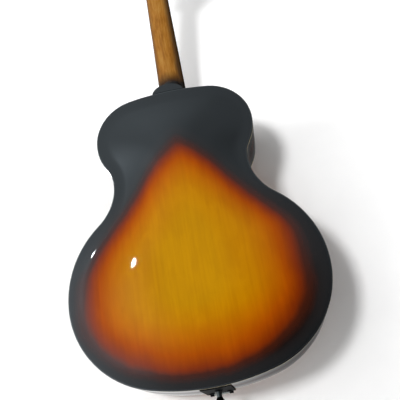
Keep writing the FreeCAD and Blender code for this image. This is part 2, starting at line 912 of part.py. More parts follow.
rod_radius = size.truss_rod_diameter / 2
rod_level = size.truss_rod_cover_depth + rod_radius
pocket_floor = rod_level + size.truss_nut_radius + size.truss_rod_gap
truss_channel = box(
    Vector(-rod_radius - size.truss_rod_gap, 0, -size.truss_rod_end - size.truss_rod_gap),
    Vector(rod_radius + size.truss_rod_gap, rod_level + rod_radius + size.truss_rod_gap,
           size.nut_thickness + 1))
truss_pocket = box(
    Vector(-size.truss_pocket_width / 2, -pocket_floor, size.nut_thickness),
    Vector(size.truss_pocket_width / 2, pocket_floor, size.nut_thickness + size.truss_pocket_length))

board_end = fret_station(size.fret_count) + size.fretboard_overhang


def board_prism(inset, start, end, front, back):
    """Tapered plate in the neck frame, as wide as the fretboard less an inset at each side."""
    near = neck_half_width(start) - inset
    far = neck_half_width(end) - inset
    return prism([Vector(-near, front, -start), Vector(near, front, -start),
                  Vector(far, front, -end), Vector(-far, front, -end)], Vector(0, back - front, 0))


shaft = Part.makeLoft([shaft_section(place) for place in
                       (-size.nut_thickness, joint_station / 2, joint_station + size.neck_root)], True)
heel = Part.makeLoft([heel_section(index / HEEL_STEPS) for index in range(HEEL_STEPS + 1)], True)
extension = framed(board_prism(size.extension_inset, joint_station - size.neck_root, board_end, 0,
                               size.extension_thickness), neck_frame)
headstock = framed(headstock_plate(0, size.headstock_thickness), headstock_frame)
neck = shaft.multiFuse([heel, extension, headstock])
neck = neck.cut(body_prism(-size.glue_gap, front_level - size.glue_gap, back_level + BIG))
neck = neck.cut([framed(truss_channel, neck_frame), framed(truss_pocket, neck_frame)])
neck = neck.cut([framed(drill, headstock_frame) for drill in tuner_drills() + cover_screw_drills()])
feature("neck", neck)

heel_cap = positive(Part.Face(heel_outline(size.heel_reach, size.heel_width / 2, heel_end + size.glue_gap))
                    .extrude(Vector(0, size.heel_cap_thickness, 0)))
feature("heel_cap", heel_cap.cut(body_prism(-size.glue_gap, front_level, back_level + BIG)))

veneer = headstock_plate(-size.veneer_thickness, size.veneer_thickness)
pocket_on_face = framed(truss_pocket, headstock_frame.inverse().multiply(neck_frame))
feature("headstock_veneer", veneer.cut(tuner_drills() + cover_screw_drills() + [pocket_on_face]),
        headstock_frame)

# Truss rod with its nut, cover and cover screws

feature("truss_rod", cylinder(rod_radius, Vector(0, rod_level, -size.truss_rod_end), Z_AXIS,
                              size.truss_rod_end + size.truss_nut_start + size.truss_nut_length),
        neck_frame)
nut_seat = at(neck_frame, 0, rod_level, size.truss_nut_start)
hexagon = primitive("Prism", "truss_nut_hexagon", nut_seat, Circumradius="Sizes.truss_nut_radius",
                    Height="Sizes.truss_nut_length")
hexagon.Polygon = 6
nut_bore = primitive("Cylinder", "truss_nut_bore", nut_seat, Height="Sizes.truss_nut_length",
                     Radius="Sizes.truss_rod_diameter / 2 + Sizes.hinge_fit")
node(cut("truss_nut_cut", hexagon, nut_bore), "truss_rod_nut")

cover_low = size.veneer_thickness
cover_high = cover_low + size.truss_cover_length
cover_half = size.truss_cover_width / 2
cover_neck = 2 * size.small_screw_head_radius
cover = prism([Vector(-cover_half, -size.veneer_thickness, cover_low),
               Vector(cover_half, -size.veneer_thickness, cover_low),
               Vector(cover_half, -size.veneer_thickness, (cover_low + cover_high) / 2),
               Vector(cover_neck, -size.veneer_thickness, cover_high),
               Vector(-cover_neck, -size.veneer_thickness, cover_high),
               Vector(-cover_half, -size.veneer_thickness, (cover_low + cover_high) / 2)],
              Vector(0, -size.truss_cover_thickness, 0))
feature("truss_rod_cover", cover.cut(cover_screw_drills()), headstock_frame)


def screw_profile(kind, length):
    """Corners of a screw: a bevelled head on its seat and a plain shank behind it."""
    head = f"Sizes.{kind}_screw_head"
    radius = f"Sizes.{kind}_screw_head_radius"
    shank = f"Sizes.{kind}_screw_radius"
    return (("0", f"-{head}"),
            (f"{radius} - Sizes.screw_head_bevel", f"-{head}"),
            (radius, f"Sizes.screw_head_bevel - {head}"),
            (radius, "0"),
            (shank, "0"),
            (shank, length),
            ("0", length))


small_screw = screw_profile("small", "Sizes.small_screw_length")
cover_screws = [revolved(f"cover_screw_{number}",
                         at(headstock_frame, *place, ALONG_Y), small_screw)
                for number, place in enumerate(cover_screw_points(), 1)]


# Fretboard, frets, markers and nut

def crowned(shape, rise):
    """Keeps what lies under the rounded playing surface, raised by a little."""
    radius = size.fretboard_radius + rise
    center = size.fretboard_radius - size.fretboard_thickness
    return shape.common(cylinder(radius, Vector(0, center, -2 * board_end), Z_AXIS, 4 * board_end))


def edge_fall(across):
    """How much lower the rounded surface is away from the centre line."""
    return size.fretboard_radius - math.sqrt(size.fretboard_radius ** 2 - across ** 2)


MARKED_FRETS = (3, 5, 7, 9, 12, 15, 17, 19)

frets = []
for fret in range(1, int(size.fret_count) + 1):
    station = fret_station(fret)
    half = neck_half_width(station) - size.fret_inset
    floor = edge_fall(half) + size.fret_seat - size.fretboard_thickness
    blank = box(Vector(-half, -2 * size.fretboard_thickness, -station - size.fret_width / 2),
                Vector(half, floor, -station + size.fret_width / 2))
    frets.append(crowned(blank, size.fret_height))
markers = []
for fret in MARKED_FRETS:
    middle = (fret_station(fret) + fret_station(fret - 1)) / 2
    pair = (-size.double_marker_spread / 2, size.double_marker_spread / 2)
    for across in pair if fret == FRETS_PER_OCTAVE else (0,):
        start = Vector(across, edge_fall(across) + size.marker_depth - size.fretboard_thickness, -middle)
        markers.append(crowned(cylinder(size.marker_radius, start, -Y_AXIS, 2 * size.marker_depth), 0))
board = crowned(board_prism(0, 0, board_end, 0, -2 * size.fretboard_thickness), 0)
feature("fretboard", board.cut(frets + markers), neck_frame)
feature("frets", Part.makeCompound(frets), neck_frame)
feature("position_markers", Part.makeCompound(markers), neck_frame)

STRINGS = range(1, 2 * TUNERS_PER_SIDE + 1)
MIDDLE_STRING = (STRINGS[0] + STRINGS[-1]) / 2


def gauge(string):
    """Thickness of a string."""
    return float(sheet.get(f"string_{string}_gauge"))


def string_across(string, spread):
    """Place of a string across the neck: the first at +X, the last at -X."""
    return spread * (MIDDLE_STRING - string) / (len(STRINGS) - 1)


def string_over_neck(string, spread, action, station):
    """Middle of a string in the neck frame, over the rounded fretboard."""
    across = string_across(string, spread)
    under = size.fretboard_thickness + size.fret_height + action - edge_fall(across)
    return Vector(across, -under - gauge(string) / 2, -station)


nut_rise = "Sizes.fretboard_thickness + Sizes.fret_height + Sizes.nut_action"
nut_blank = primitive("Box", "nut_blank", at(neck_frame, -size.nut_width / 2, 0, 0, Rotation(X_AXIS, 90)),
                      Length="Sizes.nut_width", Width="Sizes.nut_thickness",
                      Height=nut_rise + " + Sizes.nut_crest")
slots = []
for string in STRINGS:
    middle = string_over_neck(string, size.nut_string_spread, size.nut_action, 0)
    width = gauge(string) + 2 * size.string_gap
    slot = primitive("Box", f"nut_slot_{string}",
                     at(neck_frame, middle.x - width / 2,
                        middle.y + gauge(string) / 2 + size.string_gap, -size.nut_thickness,
                        Rotation(X_AXIS, 90)),
                     Length=f"Sizes.string_{string}_gauge + 2 * Sizes.string_gap",
                     Width="3 * Sizes.nut_thickness", Height="Sizes.fretboard_thickness")
    slots.append(slot)
node(cut("nut_cut", nut_blank, *slots), "nut")


# Tuning machines, drawn with the post axis along Y and the button at +X, for the treble side

worm_drop = size.gear_pitch_radius + size.worm_pitch_radius
gear_front = size.gear_level - size.gear_thickness / 2
gear_back = size.gear_level + size.gear_thickness / 2
gear_tip = size.gear_pitch_radius + size.tooth_addendum
gear_room = gear_tip + size.running_gap
worm_room = size.worm_thread_center + size.worm_thread_radius + size.running_gap
housing_half = gear_room + size.housing_wall
housing_depth = size.gear_level + worm_room + size.housing_wall
collar_end = housing_half + size.housing_collar_length
button_start = collar_end + size.running_gap


def housing_shell():
    """Gear housing: a cast box with a collar, hollowed for the gear, the worm and both bearings."""
    low = Vector(-housing_half, 0, -worm_drop - worm_room - size.housing_wall)
    high = Vector(housing_half, housing_depth, housing_half)
    axis = Vector(0, size.gear_level, -worm_drop)
    room = size.worm_length / 2 + size.running_gap
    tail = room + size.worm_tail
    shell = box(low, high)
    shell = shell.makeFillet(size.housing_wall / 2, [
        edge for edge in shell.Edges if edge.CenterOfMass.y > housing_depth / 4])
    shell = shell.fuse(cylinder(size.housing_collar_radius, axis, X_AXIS, collar_end))
    return shell.cut([
        cylinder(gear_room, Vector(0, -1, 0), Y_AXIS, gear_back + size.running_gap + 1),
        cylinder(size.post_pin_radius + size.hinge_fit, Vector(0, 0, 0), Y_AXIS,
                 gear_back + size.post_pin_length + size.running_gap),
        cylinder(worm_room, axis - X_AXIS * room, X_AXIS, 2 * room),
        cylinder(size.worm_shaft_radius + size.hinge_fit, axis - X_AXIS * tail, X_AXIS,
                 tail + collar_end + 1)])


def helix_path(turns, place, heading):
    """Quarter-turn arcs through points and headings given for each angle."""
    quarters = round(4 * turns)
    angles = [2 * math.pi * turns * index / quarters for index in range(quarters + 1)]
    edges = []
    for start, end in zip(angles, angles[1:]):
        edges += biarc(place(start), heading(start), place(end), heading(end))
    return edges


worm_pitch = 2 * math.pi * size.gear_pitch_radius / size.gear_teeth


def worm_shaft():
    """Worm on its shaft: a round thread whose pitch is one tooth of the gear, facing the gear at x = 0."""
    axis = Vector(0, size.gear_level, -worm_drop)
    half = size.worm_turns * worm_pitch / 2
    back = math.pi * size.worm_turns

    def place(angle):
        turn = angle - back
        return axis + Vector(worm_pitch * angle / (2 * math.pi) - half,
                             size.worm_thread_center * math.sin(turn),
                             size.worm_thread_center * math.cos(turn))

    def heading(angle):
        turn = angle - back
        return Vector(worm_pitch / (2 * math.pi), size.worm_thread_center * math.cos(turn),
                      -size.worm_thread_center * math.sin(turn)).normalize()

    thread = tube(helix_path(size.worm_turns, place, heading), size.worm_thread_radius)
    start = size.worm_length / 2 + size.worm_tail
    shaft_line = cylinder(size.worm_shaft_radius, axis - X_AXIS * start, X_AXIS,
                          start + button_start + size.button_grip)
    core = cylinder(size.worm_core_radius, axis - X_AXIS * size.worm_length / 2, X_AXIS, size.worm_length)
    return core.fuse(shaft_line).fuse(thread)


def string_post():
    """String post with its gear and the pin it turns on; a gap between teeth faces the worm."""
    root = size.gear_pitch_radius - size.tooth_dedendum
    corners = []
    for tooth in range(round(size.gear_teeth)):
        middle = 2 * math.pi * (tooth + 0.5) / size.gear_teeth
        for radius, offset in ((root, -size.tooth_root_width), (gear_tip, -size.tooth_tip_width),
                               (gear_tip, size.tooth_tip_width), (root, size.tooth_root_width)):
            angle = middle + offset / 2 / radius
            corners.append(Vector(radius * math.sin(angle), gear_front, -radius * math.cos(angle)))
    gear = prism(corners, Vector(0, size.gear_thickness, 0))
    top = -size.headstock_thickness - size.veneer_thickness - size.post_rise
    stem = cylinder(size.post_radius, Vector(0, top, 0), Y_AXIS, gear_back - top)
    pin = cylinder(size.post_pin_radius, Vector(0, 0, 0), Y_AXIS, gear_back + size.post_pin_length)
    hole = cylinder(size.post_hole_radius, Vector(-2 * size.post_radius, top + size.post_hole_depth, 0),
                    X_AXIS, 4 * size.post_radius)
    return stem.fuse(gear).fuse(pin).cut(hole)


button_frame = at(WORLD, button_start, size.gear_level, -worm_drop)
button_oval = primitive("Ellipsoid", "button_oval",
                        at(button_frame, size.button_collar_length + size.button_length / 2, 0, 0),
                        Radius1="Sizes.button_height / 2", Radius2="Sizes.button_length / 2",
                        Radius3="Sizes.button_depth / 2")
button_collar = primitive("Cylinder", "button_collar", at(button_frame, 0, 0, 0, ALONG_X),
                          Radius="Sizes.button_collar_radius",
                          Height="Sizes.button_collar_length + Sizes.button_length / 4")
button_bore = primitive("Cylinder", "button_bore", at(button_frame, 0, 0, 0, ALONG_X),
                        Radius="Sizes.worm_shaft_radius + Sizes.glue_gap",
                        Height="Sizes.button_grip + Sizes.glue_gap")
button = cut("button_cut", fuse("button_form", button_oval, button_collar), button_bore)
doc.recompute()


def tuner_copy(shape, side, up):
    """A tuner piece moved to its place; pieces of the bass side are mirror images."""
    hand = shape if side > 0 else shape.mirror(Vector(0, 0, 0), X_AXIS)
    return framed(hand, at(headstock_frame, side * size.tuner_offset, size.headstock_thickness, up))


shell = housing_shell()
worm = worm_shaft()
post = string_post()
feature("tuner_housings", Part.makeCompound([tuner_copy(shell, side, up) for side, up, _ in tuner_places()]))
bore = "Sizes.post_radius + Sizes.hinge_fit"
bushing_profile = ((bore, "-Sizes.bushing_flange"), ("Sizes.bushing_flange_radius", "-Sizes.bushing_flange"),
                   ("Sizes.bushing_flange_radius", "0"), ("Sizes.bushing_radius", "0"),
                   ("Sizes.bushing_radius", "Sizes.bushing_length"), (bore, "Sizes.bushing_length"))
bushings = [revolved(f"bushing_{string}",
                     at(headstock_frame, side * size.tuner_offset, -size.veneer_thickness, up, ALONG_Y),
                     bushing_profile)
            for side, up, string in tuner_places()]
node(group("bushing_group", *bushings), "tuner_bushings")
for side, up, string in tuner_places():
    feature(f"tuner_{string}_button", tuner_copy(button.Shape, side, up))
    feature(f"tuner_{string}_worm", tuner_copy(worm, side, up))
    feature(f"tuner_{string}_post", tuner_copy(post, side, up))


# Bridge

crown_level = front_level - arch_height(0, bridge_station, size.top_arch)
base_top = crown_level - size.bridge_base_height
wheel_back = base_top - size.thumbwheel_rise
wheel_front = wheel_back - size.thumbwheel_thickness
saddle_back = wheel_front - size.glue_gap
saddle_front = string_crest.y + size.string_gap
post_end = base_top + size.bridge_post_depth - size.bridge_post_length
half_spread = size.bridge_post_spread / 2

half = Vector(size.bridge_base_length / 2, 0, size.bridge_base_width / 2)
level = Vector(0, 0, bridge_height)
base = box(level - half + Y_AXIS * base_top, level + half + Y_AXIS * front_level)
base = base.cut(raised(top_face, -size.glue_gap, BIG))
relief = crown_level - size.bridge_relief_height
half = Vector(size.bridge_relief_length / 2, 0, size.bridge_base_width)
base = base.cut(box(level - half + Y_AXIS * relief, level + half + Y_AXIS * front_level))
base = base.cut([cylinder(size.bridge_post_radius + size.glue_gap,
                          Vector(side * half_spread, base_top - 1, bridge_height), Y_AXIS,
                          size.bridge_post_depth + size.glue_gap + 1) for side in (-1, 1)])
feature("bridge_base", base)

bridge_posts = [primitive("Cylinder", f"bridge_post_{name}",
                          at(WORLD, side * half_spread, post_end, bridge_height, ALONG_Y),
                          Radius="Sizes.bridge_post_radius", Height="Sizes.bridge_post_length")
                for name, side in (("bass", -1), ("treble", 1))]
node(group("bridge_post_group", *bridge_posts), "bridge_posts")

for name, side in (("bass", -1), ("treble", 1)):
    seat = at(WORLD, side * half_spread, wheel_front, bridge_height, ALONG_Y)
    disc = primitive("Cylinder", f"wheel_disc_{name}", seat, Radius="Sizes.thumbwheel_radius",
                     Height="Sizes.thumbwheel_thickness")
    hole = primitive("Cylinder", f"wheel_hole_{name}", seat, Height="Sizes.thumbwheel_thickness",
                     Radius="Sizes.bridge_post_radius + Sizes.hinge_fit")
    notches = []
    for index in range(round(size.thumbwheel_notches)):
        angle = 2 * math.pi * index / size.thumbwheel_notches
        notches.append(primitive(
            "Cylinder", f"wheel_notch_{name}_{index}",
            at(seat, size.thumbwheel_radius * math.cos(angle), size.thumbwheel_radius * math.sin(angle), 0),
            Radius="Sizes.thumbwheel_notch_radius", Height="Sizes.thumbwheel_thickness"))
    node(cut(f"wheel_cut_{name}", disc, hole, *notches), f"bridge_{name}_thumbwheel")

crest_center = Vector(0, saddle_front + size.fretboard_radius, bridge_height)
flank = size.fretboard_radius - (saddle_back - saddle_front) / 2
half_crest = size.bridge_saddle_crest / 2
half_width = size.bridge_saddle_width / 2
ridge = [crest_center - Y_AXIS * outward + Z_AXIS * along
         for outward, along in ((0, -half_width), (flank, -half_width), (size.fretboard_radius, -half_crest),
                                (size.fretboard_radius, half_crest), (flank, half_width), (0, half_width))]
ridge_face = Part.Face(Part.makePolygon(ridge + ridge[:1]))
half = Vector(size.bridge_saddle_length / 2, 0, half_width)
saddle_form = box(level - half + Y_AXIS * saddle_front, level + half + Y_AXIS * saddle_back)
saddle_form = saddle_form.common(ridge_face.revolve(crest_center, Z_AXIS, 360))
saddle_form = saddle_form.cut([cylinder(size.bridge_post_radius + size.hinge_fit,
                                        Vector(side * half_spread, saddle_back + 1, bridge_height), -Y_AXIS,
                                        size.bridge_saddle_hole + 1) for side in (-1, 1)])
feature("bridge_saddle", saddle_form)

# Tailpiece, its hinge and its bracket on the end rim

# The frame points at the crest of the bridge, or higher where its bar would touch the arch
bar_level = (front_level - arch_height(0, size.body_length - size.tailpiece_length, size.top_arch)
             - size.tailpiece_bar_radius - size.tailpiece_clearance)
tail_slope = max((hinge_point.y - string_crest.y) / (bridge_height - hinge_point.z),
                 (hinge_point.y - bar_level) / size.tailpiece_length)
tail_frame = Placement(hinge_point, Rotation(Z_AXIS, Vector(0, -tail_slope, 1)))
bar_half = size.tailpiece_bar_length / 2
barrel_half = size.hinge_barrel_length / 2
frame_form = cylinder(size.hinge_barrel_radius, Vector(-barrel_half, 0, 0), X_AXIS, size.hinge_barrel_length)
bar = cylinder(size.tailpiece_bar_radius, Vector(-bar_half, 0, size.tailpiece_length), X_AXIS,
               size.tailpiece_bar_length)
frame_form = frame_form.fuse(bar)
for side in (-1, 1):
    foot = Vector(side * size.tailpiece_rod_spread / 2, 0, 0)
    head = Vector(side * (bar_half - 2 * size.tailpiece_rod_radius), 0, size.tailpiece_length)
    frame_form = frame_form.fuse(cylinder(size.tailpiece_rod_radius, foot, head - foot, (head - foot).Length))
ear_half = barrel_half + size.running_gap + size.hinge_ear_length
drills = [cylinder(size.hinge_pin_radius + size.hinge_fit, Vector(-ear_half, 0, 0), X_AXIS, 2 * ear_half)]
for string in STRINGS:
    across = string_across(string, size.tail_string_spread)
    start = Vector(across, 0, size.tailpiece_length - 2 * size.tailpiece_bar_radius)
    drills.append(cylinder(size.tailpiece_hole_radius, start, Z_AXIS, 4 * size.tailpiece_bar_radius))
feature("tailpiece_frame", frame_form.cut(drills), tail_frame)

node(primitive("Cylinder", "hinge_pin", at(WORLD, -ear_half, hinge_point.y, hinge_point.z, ALONG_X),
               Radius="Sizes.hinge_pin_radius",
               Height="Sizes.hinge_barrel_length + 2 * (Sizes.running_gap + Sizes.hinge_ear_length)"),
     "tailpiece_hinge_pin")

rim_axis = Vector(0, hinge_point.y, body_top - TAIL_CENTER.y)
plate_reach = front_level + size.bracket_depth - hinge_point.y
inner_radius = size.tail_radius + size.glue_gap
plate = cylinder(inner_radius + size.bracket_thickness, rim_axis, Y_AXIS, plate_reach).cut(
    cylinder(inner_radius, rim_axis, Y_AXIS, plate_reach))
plate = plate.common(box(Vector(-size.bracket_width / 2, hinge_point.y - 1, body_bottom - size.body_depth),
                         Vector(size.bracket_width / 2, back_level, body_bottom + size.body_depth)))
ears = [cylinder(size.hinge_barrel_radius, hinge_point + X_AXIS * start, X_AXIS, size.hinge_ear_length)
        for start in (-ear_half, barrel_half + size.running_gap)]
notch_reach = Vector(barrel_half + size.running_gap, size.hinge_barrel_radius + size.running_gap,
                     size.body_depth)
plate = plate.cut(box(hinge_point - notch_reach, hinge_point + notch_reach)).multiFuse(ears)
plate = plate.cut([cylinder(size.hinge_pin_radius + size.glue_gap, hinge_point - X_AXIS * ear_half, X_AXIS,
                            2 * ear_half)] + end_holes(size.glue_gap))
feature("tailpiece_bracket", plate)

bracket_screw = screw_profile("bracket", "Sizes.bracket_screw_length")
bracket_screws = [revolved(f"bracket_screw_{number}", at(WORLD, *place), bracket_screw)
                  for number, place in enumerate(bracket_screw_points(), 1)]
node(group("bracket_screw_group", *bracket_screws), "tailpiece_screws")

# Strap button, turned about the upright axis of the end rim and facing down

button_seat = at(WORLD, 0, strap_point.y, body_bottom - size.bracket_thickness - 2 * size.glue_gap,
                 Rotation(X_AXIS, 180))
screw_bore = "Sizes.strap_screw_radius + Sizes.glue_gap"
head_bore = "Sizes.strap_screw_head_radius + Sizes.glue_gap"
neck_end = "Sizes.strap_button_length - Sizes.strap_button_lip"
recess = "Sizes.strap_button_length - Sizes.strap_screw_head"
node(revolved("strap_button_turned", button_seat, (
    (screw_bore, "0"),
    ("Sizes.strap_button_foot_radius", "0"),
    ("Sizes.strap_button_foot_radius", "Sizes.strap_button_lip / 2"),
    ("Sizes.strap_button_waist_radius", "Sizes.strap_button_length / 3"),
    ("Sizes.strap_button_waist_radius", "Sizes.strap_button_length / 2"),
    ("Sizes.strap_button_head_radius", neck_end),
    ("Sizes.strap_button_head_radius", "Sizes.strap_button_length - Sizes.strap_button_lip / 3"),
    ("Sizes.strap_button_head_radius - Sizes.strap_button_lip / 2", "Sizes.strap_button_length"),
    (head_bore, "Sizes.strap_button_length"),
    (head_bore, recess),
    (screw_bore, recess))), "strap_button")
node(revolved("strap_screw_turned", button_seat, (
    ("0", "-Sizes.strap_screw_bite"),
    ("Sizes.strap_screw_radius", "-Sizes.strap_screw_bite"),
    ("Sizes.strap_screw_radius", recess + " + Sizes.glue_gap"),
    ("Sizes.strap_screw_head_radius", recess + " + Sizes.glue_gap"),
    ("Sizes.strap_screw_head_radius", "Sizes.strap_button_length"),
    ("0", "Sizes.strap_button_length"))), "strap_button_screw")


# Strings

def bend_path(points, radius):
    """Straight runs between points, with an arc at each inner point."""
    edges = []
    start = points[0]
    for before, corner, after in zip(points, points[1:], points[2:]):
        arriving = towards(before, corner)
        leaving = towards(corner, after)
        reach = radius * math.tan(math.acos(min(arriving.dot(leaving), 1)) / 2)
        entry = corner - arriving * reach
        leave = corner + leaving * reach
        edges.append(Part.LineSegment(start, entry).toShape())
        edges.append(arc_between(entry, corner, leave))
        start = leave
    edges.append(Part.LineSegment(start, points[-1]).toShape())
    return edges


POINTS_PER_ARC = 7


def least_gap(edges, thickness):
    """Least clear distance between the turns of a wound tube, measured on points along it."""
    points = []
    walked = 0
    for edge in edges:
        run = edge.discretize(POINTS_PER_ARC + 1)
        points += [(walked + edge.Length * index / POINTS_PER_ARC, place) for index, place in enumerate(run)]
        walked += edge.Length
    return min((first - second).Length for reach, first in points for other, second in points
               if other - reach > 4 * (thickness + size.post_radius)) - thickness


def string_solid(string, side, up):
    """One string: ball end, run over saddle and nut, and its turns around the post."""
    thickness = gauge(string)
    across = string_across(string, size.tail_string_spread)
    drop = size.tailpiece_bar_radius + size.ball_radius + size.string_gap
    ball_point = tail_frame.multVec(Vector(across, 0, size.tailpiece_length - drop))
    saddle_point = neck_frame.multVec(string_over_neck(
        string, size.bridge_string_spread, size.bridge_action, size.scale_length))
    nut_point = neck_frame.multVec(string_over_neck(string, size.nut_string_spread, size.nut_action, 0))
    bend_point = nut_point + towards(saddle_point, nut_point) * (size.nut_thickness + size.string_gap)

    coil_radius = size.post_radius + thickness / 2 + size.string_gap
    level = -size.veneer_thickness - size.bushing_flange - size.winding_level
    center = Vector(side * size.tuner_offset, level, up)
    local = headstock_frame.inverse().multVec(bend_point)
    flat = Vector(local.x, level, local.z)
    ahead = towards(flat, center)
    inward = Vector(-side * ahead.z, 0, side * ahead.x)
    lean = math.asin(coil_radius / (center - flat).Length)
    touch = center + (inward * math.cos(lean) - ahead * math.sin(lean)) * coil_radius
    spoke = towards(center, touch)
    around = towards(flat, touch)
    pitch = thickness + size.winding_gap

    def place(angle):
        turned = spoke * math.cos(angle) + around * math.sin(angle)
        return headstock_frame.multVec(center + turned * coil_radius - Y_AXIS * pitch * angle / (2 * math.pi))

    def heading(angle):
        turned = around * math.cos(angle) - spoke * math.sin(angle)
        step = turned * coil_radius - Y_AXIS * pitch / (2 * math.pi)
        return headstock_frame.Rotation.multVec(step).normalize()

    coil = helix_path(size.string_turns, place, heading)
    start = place(0)
    lead = start - heading(0) * coil_radius
    runs = bend_path([ball_point, saddle_point, bend_point, lead, start], size.string_bend_radius)
    last = place(2 * math.pi * size.string_turns)
    finish = Part.LineSegment(last, last + heading(2 * math.pi * size.string_turns) * thickness).toShape()
    print(f"string_{string} least gap between turns {least_gap(coil, thickness):.2f} mm")
    return tube(runs + coil + [finish], thickness / 2).fuse(Part.makeSphere(size.ball_radius, ball_point))


for side, up, string in sorted(tuner_places(), key=lambda place: place[2]):
    feature(f"string_{string}", string_solid(string, side, up))

# Pickguard with its bracket and screws, in the neck frame

guard_back = -size.pickguard_level
guard_front = guard_back - size.pickguard_thickness


def guard_inner(station):
    return neck_half_width(station) + size.pickguard_gap


inner_end = guard_inner(board_end)
guard_points = [(guard_inner(size.pickguard_top), size.pickguard_top),
                (guard_inner(size.pickguard_top) + size.pickguard_shoulder_width, size.pickguard_top),
                (inner_end + size.pickguard_belly_width, size.pickguard_belly_station),
                (inner_end + size.pickguard_tail_width, size.pickguard_bottom),
                (inner_end, size.pickguard_bottom),
                (inner_end, board_end)]
guard = prism([Vector(across, guard_back, -station) for across, station in guard_points],
              Y_AXIS * -size.pickguard_thickness)
outer_corners = [edge for edge in guard.Edges
                 if abs(edge.tangentAt(edge.FirstParameter).y) > 0.5 and edge.CenterOfMass.x > inner_end + 1]
guard = guard.makeFillet(size.pickguard_corner, outer_corners)
lap_end = rib_side - size.pickguard_bracket_lap
guard_screw_point = Vector(lap_end + size.pickguard_bracket_width / 2, guard_front, -guard_station)
guard_drill = cylinder(size.small_screw_radius + size.small_screw_gap, guard_screw_point, Y_AXIS,
                       size.pickguard_screw_length + size.small_screw_gap)
feature("pickguard", guard.cut(guard_drill), neck_frame)

half_strip = size.pickguard_bracket_width / 2
rib_out = rib_side + size.pickguard_bracket_thickness
strip = box(Vector(lap_end, guard_back + size.glue_gap, -guard_station - half_strip),
            Vector(rib_out, guard_back + size.pickguard_bracket_thickness, -guard_station + half_strip))
leg = box(Vector(rib_side, guard_back + size.glue_gap, -guard_station - half_strip),
          Vector(rib_out, leg_end, -guard_station + half_strip))
rib_drill = framed(rib_screw_drill(size.small_screw_gap), neck_frame.inverse())
feature("pickguard_bracket", strip.fuse(leg).cut([guard_drill, rib_drill]), neck_frame)

guard_screw = revolved("guard_screw", at(neck_frame, *guard_screw_point, ALONG_Y),
                       screw_profile("small", "Sizes.pickguard_screw_length"))
rib_screw = revolved("rib_screw", at(WORLD, *rib_screw_point, Rotation(Z_AXIS, -X_AXIS)), small_screw)
node(group("small_screw_group", *cover_screws, guard_screw, rib_screw), "small_screws")

# Checks and files

doc.recompute()
failed = [item.Name for item in doc.Objects if {"Invalid", "Error"} & set(item.State)]
failed += [item.Label for item in nodes if item.Shape.isNull() or not item.Shape.isValid()]
if failed:
    raise SystemExit("failed: " + ", ".join(failed))
os.makedirs("parts", exist_ok=True)
for item in nodes:
    item.Shape.exportStep(os.path.join("parts", item.Label + ".step"))
print(len(nodes), "sub-parts written")
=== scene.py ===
"""Archtop guitar in a sunburst finish, seen from its back: camera, light, surfaces and finishes.

Lengths are in millimetres until a mesh is made; camera, finishes, stage and light are in metres. A
point of the body is given by its place across from the centre line, positive on the treble side,
and down from the neck end; front and back are levels along Y.
"""
import math

import bmesh
import bpy
import numpy as np
from mathutils import Matrix, Vector


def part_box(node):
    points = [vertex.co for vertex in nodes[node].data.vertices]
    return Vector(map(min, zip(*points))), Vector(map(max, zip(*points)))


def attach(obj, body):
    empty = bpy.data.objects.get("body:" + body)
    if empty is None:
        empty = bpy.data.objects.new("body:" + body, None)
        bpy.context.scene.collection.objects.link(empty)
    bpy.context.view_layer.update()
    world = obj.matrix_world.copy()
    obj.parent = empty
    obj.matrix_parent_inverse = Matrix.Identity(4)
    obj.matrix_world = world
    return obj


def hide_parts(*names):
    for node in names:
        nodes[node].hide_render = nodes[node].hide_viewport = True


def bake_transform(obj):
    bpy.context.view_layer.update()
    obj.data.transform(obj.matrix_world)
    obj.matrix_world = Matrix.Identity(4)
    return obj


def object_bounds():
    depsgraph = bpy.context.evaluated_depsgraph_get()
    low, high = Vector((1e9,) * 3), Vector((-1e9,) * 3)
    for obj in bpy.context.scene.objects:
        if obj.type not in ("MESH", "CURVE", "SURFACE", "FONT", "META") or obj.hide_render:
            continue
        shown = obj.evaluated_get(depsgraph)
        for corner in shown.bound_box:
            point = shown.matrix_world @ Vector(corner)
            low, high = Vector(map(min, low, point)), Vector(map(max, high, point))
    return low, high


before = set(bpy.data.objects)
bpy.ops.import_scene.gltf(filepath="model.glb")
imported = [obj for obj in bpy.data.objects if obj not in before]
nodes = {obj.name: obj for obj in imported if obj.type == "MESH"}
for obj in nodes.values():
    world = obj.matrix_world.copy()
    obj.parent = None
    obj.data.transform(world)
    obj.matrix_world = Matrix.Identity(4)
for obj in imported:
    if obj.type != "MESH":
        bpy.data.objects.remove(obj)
cad_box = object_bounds()
slots = {name: node.data.materials[0].name for name, node in nodes.items()}
stand_ins = {}
MM = 0.001


# Camera

EYE = Vector((-0.0866, 0.8772, -0.9314))
PICTURE_RIGHT = Vector((-0.97951, -0.11178, -0.1675))
PICTURE_UP = Vector((-0.19753, 0.37159, 0.90714))
SENSOR_WIDTH, FOCAL_PIXELS, PICTURE_PIXELS = 36, 549, 400
LENS_SHIFT = (-0.05, 0.03)


def place_camera():
    """Camera of the picture: behind the guitar, a little below its tail and to its bass side."""
    lens = bpy.data.cameras.new("camera")
    lens.sensor_width = SENSOR_WIDTH
    lens.lens = SENSOR_WIDTH * FOCAL_PIXELS / PICTURE_PIXELS
    lens.shift_x, lens.shift_y = LENS_SHIFT
    camera = bpy.data.objects.new("camera", lens)
    turn = Matrix((PICTURE_RIGHT, PICTURE_UP, PICTURE_RIGHT.cross(PICTURE_UP))).transposed()
    camera.matrix_world = Matrix.Translation(EYE) @ turn.to_4x4()
    bpy.context.scene.collection.objects.link(camera)
    bpy.context.scene.camera = camera


place_camera()
bpy.context.scene.view_settings.view_transform = "Standard"


# Sizes of the body, taken over from the solid model

